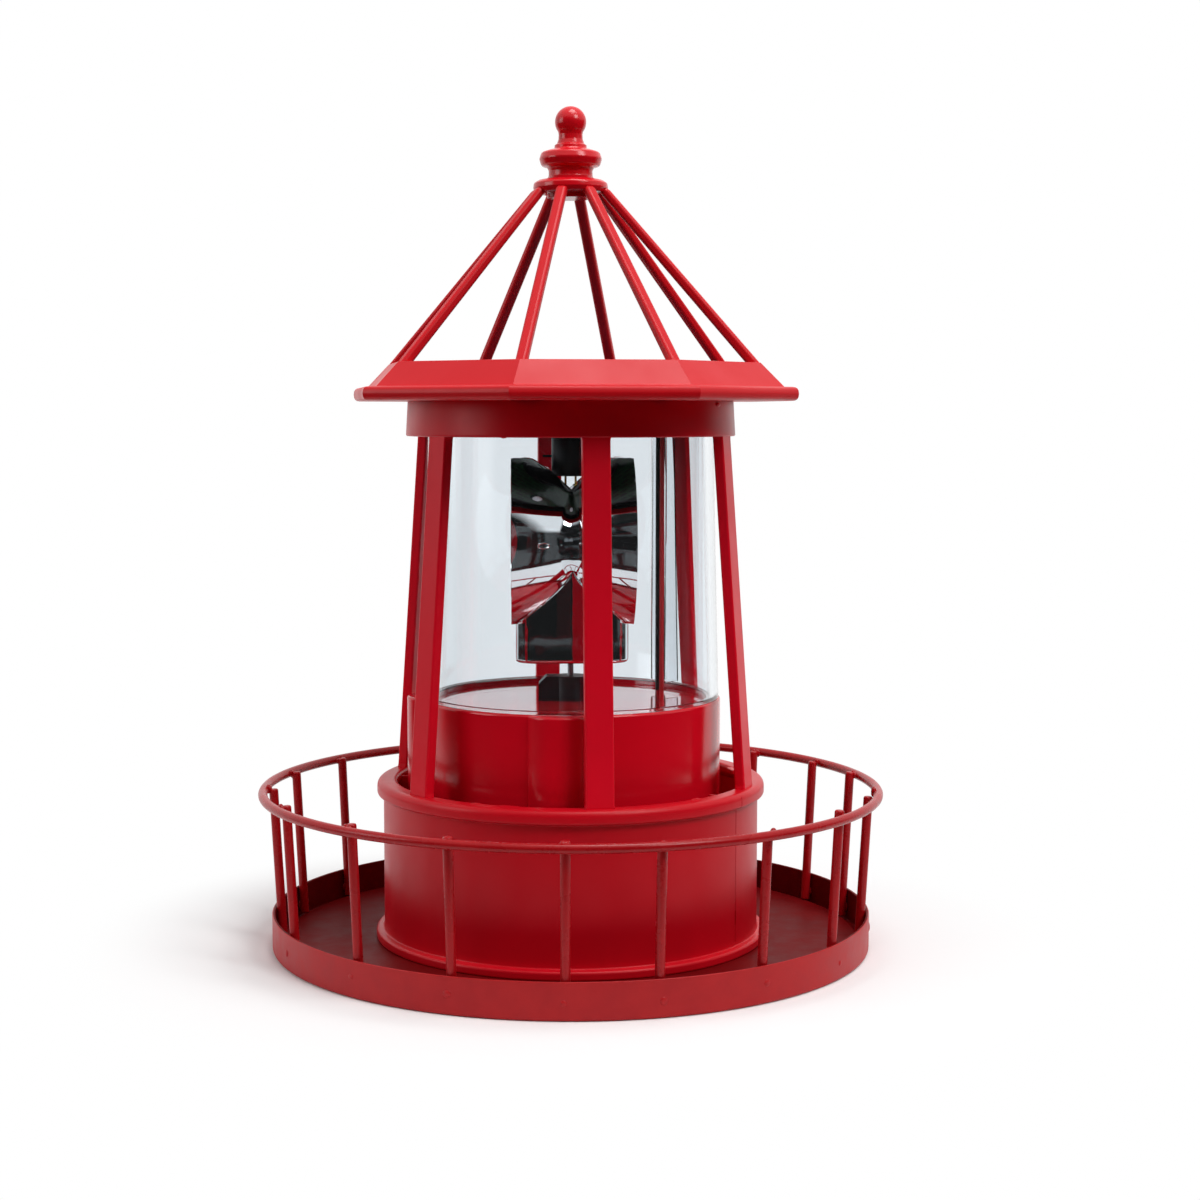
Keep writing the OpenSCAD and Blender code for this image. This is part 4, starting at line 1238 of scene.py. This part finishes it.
# ------------ mirror
@dataclass
class Mirror:
    """Turning mirror: two bowls back to back on a rounded skirt, plated bright."""

    middle: float = 101.1
    waist: float = 14.45
    end: float = 23.45
    half: float = 14.9
    top: float = 20.9
    bottom: float = 19.6
    wall: float = 1.2
    skirt: tuple[float, float, float] = (14.0, 12.7, 5.5)
    foot: float = 71.7
    hole: float = 5.9
    flash: float = 0.14
    gate: float = -7.2
    turn: float = -6.2

    def radius(self, x: float) -> float:
        """Gives the bowls' outer radius at a distance from the middle."""
        return math.sqrt(self.waist ** 2 + (self.end ** 2 - self.waist ** 2)
                         * abs(x) / self.half)

    def bowls(self, name: str, shrink: float, reach: float, low: float, high: float) -> Object:
        """Builds the two bowls as one solid along X, cut flat above and below.

        Args:
            name: Name of the new object.
            shrink: How much smaller than the outside the solid is all round.
            reach: Distance of each end from the middle.
            low: Height of the lower cut.
            high: Height of the upper cut.

        Returns:
            The solid at its height.
        """
        steps = 22
        ends = [(self.radius(self.half) - shrink, reach)] if reach > self.half else []
        profile: list[Point] = [(0, -reach)] + [(r, -x) for r, x in ends]
        for i in range(-steps, steps + 1):
            x = i * self.half / steps
            profile.append((self.radius(x) - shrink, x))
        solid = lathe(name, [*profile, *ends, (0, reach)])
        solid.data.transform(Matrix.Translation((0, 0, self.middle * MM))
                             @ Matrix.Rotation(math.pi / 2, 4, "Y"))
        pick(solid)
        bpy.ops.object.mode_set(mode="EDIT")
        for height, side in ((low, -1), (high, 1)):
            bpy.ops.mesh.select_all(action="SELECT")
            bpy.ops.mesh.bisect(plane_co=(0, 0, height * MM), plane_no=(0, 0, side),
                                use_fill=True, clear_outer=True)
        bpy.ops.object.mode_set(mode="OBJECT")
        return solid

    def skirt_outline(self) -> list[Spot]:
        """Gives the skirt's outline: a rectangle with wide round corners.

        Returns:
            Its corners at the skirt's foot.
        """
        wide, deep, soft = self.skirt
        out: list[Spot] = []
        for sx, sy, start in ((1, 1, 0), (-1, 1, 90), (-1, -1, 180), (1, -1, 270)):
            for k in range(13):
                turn = math.radians(start + 90 * k / 12)
                out.append((sx * (wide - soft) + soft * math.cos(turn),
                            sy * (deep - soft) + soft * math.sin(turn), self.foot))
        return out

    def gate_mark(self) -> Object:
        """Builds the small ring that the moulding gate left on the front bowl.

        Returns:
            The ring.
        """
        clear()
        bpy.ops.mesh.primitive_torus_add(major_radius=1.2 * MM, minor_radius=0.22 * MM,
                                         major_segments=32, minor_segments=8)
        mark, x, r = bpy.context.object, self.gate, self.radius(self.gate)
        slope = math.atan((self.end ** 2 - self.waist ** 2) / self.half / 2 / r)
        mark.data.transform(Matrix.Translation((x * MM, -r * MM, self.middle * MM))
                            @ Matrix.Rotation(slope, 4, "Z") @ Matrix.Rotation(math.pi / 2, 4, "X")
                            @ Matrix.Diagonal((1.25, 0.55, 1, 1)))
        return mark

    def lips(self) -> list[Object]:
        """Builds the rolled lips where the skirt meets the bowls, in front and behind.

        Returns:
            The two lips.
        """
        wide, deep, soft = self.skirt
        lips = []
        for side in (-1, 1):
            spots: list[Spot] = []
            for k in range(-28, 29):
                x = k / 2
                inset = max(abs(x) - (wide - soft), 0.0)
                y = deep - soft + math.sqrt(soft ** 2 - inset ** 2)
                drop = min(math.sqrt(self.radius(x) ** 2 - y ** 2), self.bottom)
                spots.append((x, side * y, self.middle - drop))
            lips.append(tube("lip", spots, 0.2))
        return lips

    def build(self) -> None:
        """Builds and dresses the mirror."""
        low, high = self.middle - self.bottom, self.middle + self.top
        body = self.bowls("mirror", 0.0, self.half, low, high)
        skirt = prism("mirror_skirt", self.skirt_outline(),
                      (0, 0, self.middle - 2 - self.foot))
        round_edges(skirt, 0.9, 5, 50)
        cut(body, skirt, "UNION")
        # parting line of the mould: a hair of flash round both bowls
        cut(body, self.bowls("flash", -self.flash, self.half - 0.1, self.middle - 0.15,
                             self.middle + 0.15), "UNION")
        cut(body, self.bowls("hollow", self.wall, self.half + 1, low + self.wall,
                             high - self.wall))
        cut(body, pin(self.hole, self.middle + 10, self.middle + 22))
        round_edges(body, 0.2, 2, 80)
        body = join("turning_mirror", [body, self.gate_mark(), *self.lips()])
        body.data.transform(about_axis(self.turn))
        shade(body, 35)
        dress(body, Skin.MIRROR, "mirror_chrome", "reflector", body="rotor")


# ------------ carried-over nodes
CARRIED: dict[str, Skin] = {
    "bearing_block": Skin.BLACK, "motor_can": Skin.STEEL, "motor_shaft": Skin.STEEL,
    "lamp_holder": Skin.BLACK, "led_lamp": Skin.RESIN, "driver_board": Skin.BOARD,
    "board_screws": Skin.STEEL, "solar_housing": Skin.BLACK, "solar_panel": Skin.PANEL,
    "solar_cells": Skin.SILICON, "battery_cells": Skin.SLEEVE, "battery_springs": Skin.NICKEL,
    "battery_link": Skin.NICKEL, "battery_contacts": Skin.NICKEL, "base_cover": Skin.BLACK,
    "cover_screws": Skin.STEEL, "battery_door": Skin.BLACK, "door_screw": Skin.STEEL,
    "switch_body": Skin.STEEL, "switch_knob": Skin.BLACK, "wire_red": Skin.RED_WIRE,
    "wire_black": Skin.BLACK_WIRE, "tray_screws": Skin.STEEL,
}
# height above which the diode's node is its metal leads
LEADS_FROM = 103.6


def dress_carried(nodes: dict[str, Object]) -> None:
    """Gives each construction node that stays in view its finish.

    Args:
        nodes: The frame's objects by the names of their nodes.
    """
    for name, skin in CARRIED.items():
        obj = nodes[name]
        obj.data.materials.clear()
        obj.data.materials.append(skin.material())
        for face in obj.data.polygons:
            face.material_index = 0
    lamp = nodes["led_lamp"]
    lamp.data.materials.append(Skin.GOLD.material())
    for face in lamp.data.polygons:
        if max(lamp.data.vertices[v].co.z for v in face.vertices) > LEADS_FROM * MM:
            face.material_index = 1


# ------------ studio
@dataclass
class Studio:
    """Round sheet of white paper, a dim room with a white backdrop, soft lamps, the camera.

    The paper's fade, the lamps' places and the camera's clipping are in metres.
    """

    azimuth: float = -8.5
    distance: float = 532.6
    height: float = 132.9
    pitch: float = 5.0
    lens: float = 64.0
    sensor: float = 36.0
    shift: float = 0.0245
    paper_r: float = 340.0
    paper_back: float = 188.0
    paper_drop: float = 0.05
    fade: tuple[float, float] = (0.079, 0.13)
    dim: float = 0.012
    backdrop: float = 1.0
    bounce: float = 0.4
    aim: Spot = (0, 0, 0.09)
    # name, place, side in metres and power in watts of each soft lamp
    lamps: tuple[tuple[str, Spot, float, float], ...] = (
        ("right_softbox", (0.485, -0.62, 0.75), 0.36, 4.1),
        ("left_window", (-0.83, -0.12, 0.36), 0.4, 1.4),
        ("top_softbox", (0.15, -0.15, 1.1), 0.5, 6.1))

    def seen(self, tree: Tree) -> Socket:
        """Gives 1 for rays straight from the eye, also through clear plastic, and 0 for others.

        Args:
            tree: Node tree of the room.

        Returns:
            The socket with that value.
        """
        rays = add_node(tree, "LightPath")
        plain = add_node(tree, "Math", {
            "operation": "LESS_THAN", 1: 0.5, 0: rays.outputs["Glossy Depth"]})
        through = add_node(tree, "Math", {
            "operation": "MULTIPLY", 0: rays.outputs["Is Transmission Ray"], 1: plain})
        both = add_node(tree, "Math", {
            "operation": "MAXIMUM", 0: rays.outputs["Is Camera Ray"], 1: through})
        return both.outputs[0]

    def floor(self) -> None:
        """Lays the paper; it keeps the object's shadow and runs out into plain white."""
        clear()
        bpy.ops.mesh.primitive_circle_add(vertices=128, radius=self.paper_r * MM,
                                          fill_type="NGON")
        obj = bpy.context.object
        obj.name = "studio_floor"
        obj.data.transform(about_axis(self.azimuth)
                           @ Matrix.Translation((0, self.paper_back * MM, -self.paper_drop * MM)))
        material, tree = new_material("studio_paper")
        place = add_node(tree, "TexCoord").outputs["Object"]
        far = add_node(tree, "VectorMath", {"operation": "LENGTH", 0: place})
        edge = add_node(tree, "MapRange", {
            "interpolation_type": "SMOOTHSTEP", "From Min": self.fade[0], "From Max": self.fade[1],
            0: far.outputs["Value"]})
        rays = add_node(tree, "LightPath")
        eye = add_node(tree, "Math", {
            "operation": "MAXIMUM", 0: rays.outputs["Is Camera Ray"],
            1: rays.outputs["Is Glossy Ray"]})
        any_eye = add_node(tree, "Math", {
            "operation": "MAXIMUM", 0: eye, 1: rays.outputs["Is Transmission Ray"]})
        fade = add_node(tree, "Math", {"operation": "MULTIPLY", 0: edge, 1: any_eye})
        paper = add_node(tree, "BsdfDiffuse", {"Color": (0.9, 0.9, 0.9, 1)})
        white = add_node(tree, "Emission", {"Color": (1, 1, 1, 1), "Strength": 1.0})
        both = add_node(tree, "MixShader", {0: fade, 1: paper, 2: white})
        add_node(tree, "OutputMaterial", {"Surface": both})
        obj.data.materials.append(material)

    def world(self) -> None:
        """Makes the room: white above, behind and at the sides, dim in front of the tower."""
        world = bpy.data.worlds.new("studio_room")
        bpy.context.scene.world = world
        world.use_nodes = True
        tree = world.node_tree
        tree.nodes.clear()
        turn = math.radians(self.azimuth)
        look = add_node(tree, "TexCoord").outputs["Generated"]
        axis = add_node(tree, "SeparateXYZ", {0: look})
        front = add_node(tree, "VectorMath", {
            "operation": "DOT_PRODUCT", 1: (math.sin(turn), -math.cos(turn), 0.0), 0: look})
        right = add_node(tree, "VectorMath", {
            "operation": "DOT_PRODUCT", 1: (math.cos(turn), math.sin(turn), 0.0), 0: look})
        # the white side walls begin above the furniture: low on the left, higher on the right
        sill = add_node(tree, "MapRange", {
            "From Min": -0.2, "From Max": 0.2, "To Min": 0.02, "To Max": -0.2,
            0: right.outputs["Value"]})
        above = add_node(tree, "Math", {"operation": "ADD", 0: axis.outputs["Z"], 1: sill})
        wall = add_node(tree, "MapRange", {"From Min": -0.02, "From Max": 0.03, 0: above})
        aside = add_node(tree, "MapRange", {
            "From Min": 0.36, "From Max": 0.48, "To Min": 1.0, "To Max": 0.0,
            0: front.outputs["Value"]})
        sides = add_node(tree, "Math", {"operation": "MULTIPLY", 0: wall, 1: aside})
        behind = add_node(tree, "MapRange", {
            "From Min": -0.35, "From Max": -0.6, 0: front.outputs["Value"]})
        ceiling = add_node(tree, "MapRange", {
            "From Min": 0.5, "From Max": 0.62, 0: axis.outputs["Z"]})
        pale = add_node(tree, "Math", {"operation": "MAXIMUM", 0: sides, 1: behind})
        white = add_node(tree, "Math", {"operation": "MAXIMUM", 0: pale, 1: ceiling})
        room = add_node(tree, "MapRange", {"To Min": self.dim, "To Max": self.backdrop, 0: white})
        rays = add_node(tree, "LightPath")
        soft = add_node(tree, "MapRange", {
            "To Min": 1.0, "To Max": self.bounce, 0: rays.outputs["Is Diffuse Ray"]})
        lit = add_node(tree, "Math", {"operation": "MULTIPLY", 0: room, 1: soft})
        level = add_node(tree, "Math", {"operation": "MAXIMUM", 0: lit, 1: self.seen(tree)})
        light = add_node(tree, "Background", {"Color": (1, 1, 1, 1), "Strength": level})
        add_node(tree, "OutputWorld", {"Surface": light})

    def lamp(self, name: str, place: Spot, size: float, power: float) -> None:
        """Hangs a square soft lamp that faces the tower's middle.

        Args:
            name: Name of the lamp.
            place: Its place in metres.
            size: Its side in metres.
            power: Its power in watts.
        """
        data = bpy.data.lights.new(name, "AREA")
        data.size = size
        data.energy = power
        lamp = bpy.data.objects.new(name, data)
        lamp.location = place
        aim = Vector(self.aim) - Vector(place)
        lamp.rotation_euler = aim.to_track_quat("-Z", "Y").to_euler()
        bpy.context.collection.objects.link(lamp)

    def camera(self) -> None:
        """Sets up the camera."""
        data = bpy.data.cameras.new("photo_camera")
        data.lens = self.lens
        data.sensor_width = self.sensor
        data.shift_x = self.shift
        data.clip_start = 0.01
        data.dof.use_dof = False
        turn = math.radians(self.azimuth)
        camera = bpy.data.objects.new("photo_camera", data)
        camera.location = (self.distance * MM * math.sin(turn),
                           -self.distance * MM * math.cos(turn), self.height * MM)
        camera.rotation_euler = (math.radians(90 - self.pitch), 0, turn)
        bpy.context.collection.objects.link(camera)
        bpy.context.scene.camera = camera

    def build(self) -> None:
        """Builds floor, room, lamps and camera."""
        self.floor()
        self.world()
        for lamp in self.lamps:
            self.lamp(*lamp)
        bpy.context.scene.view_settings.view_transform = "Standard"
        self.camera()


def main() -> None:
    """Builds the object's pieces and the studio round the loaded frame."""
    logging.basicConfig(level=logging.INFO, format="%(name)s: %(message)s")
    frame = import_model()
    for part in (Gallery(), Tower(), Roof(), Lantern(), Mirror()):
        part.build()
    dress_carried(frame["nodes"])
    Studio().build()
    clear()


if __name__ == "__main__":
    main()
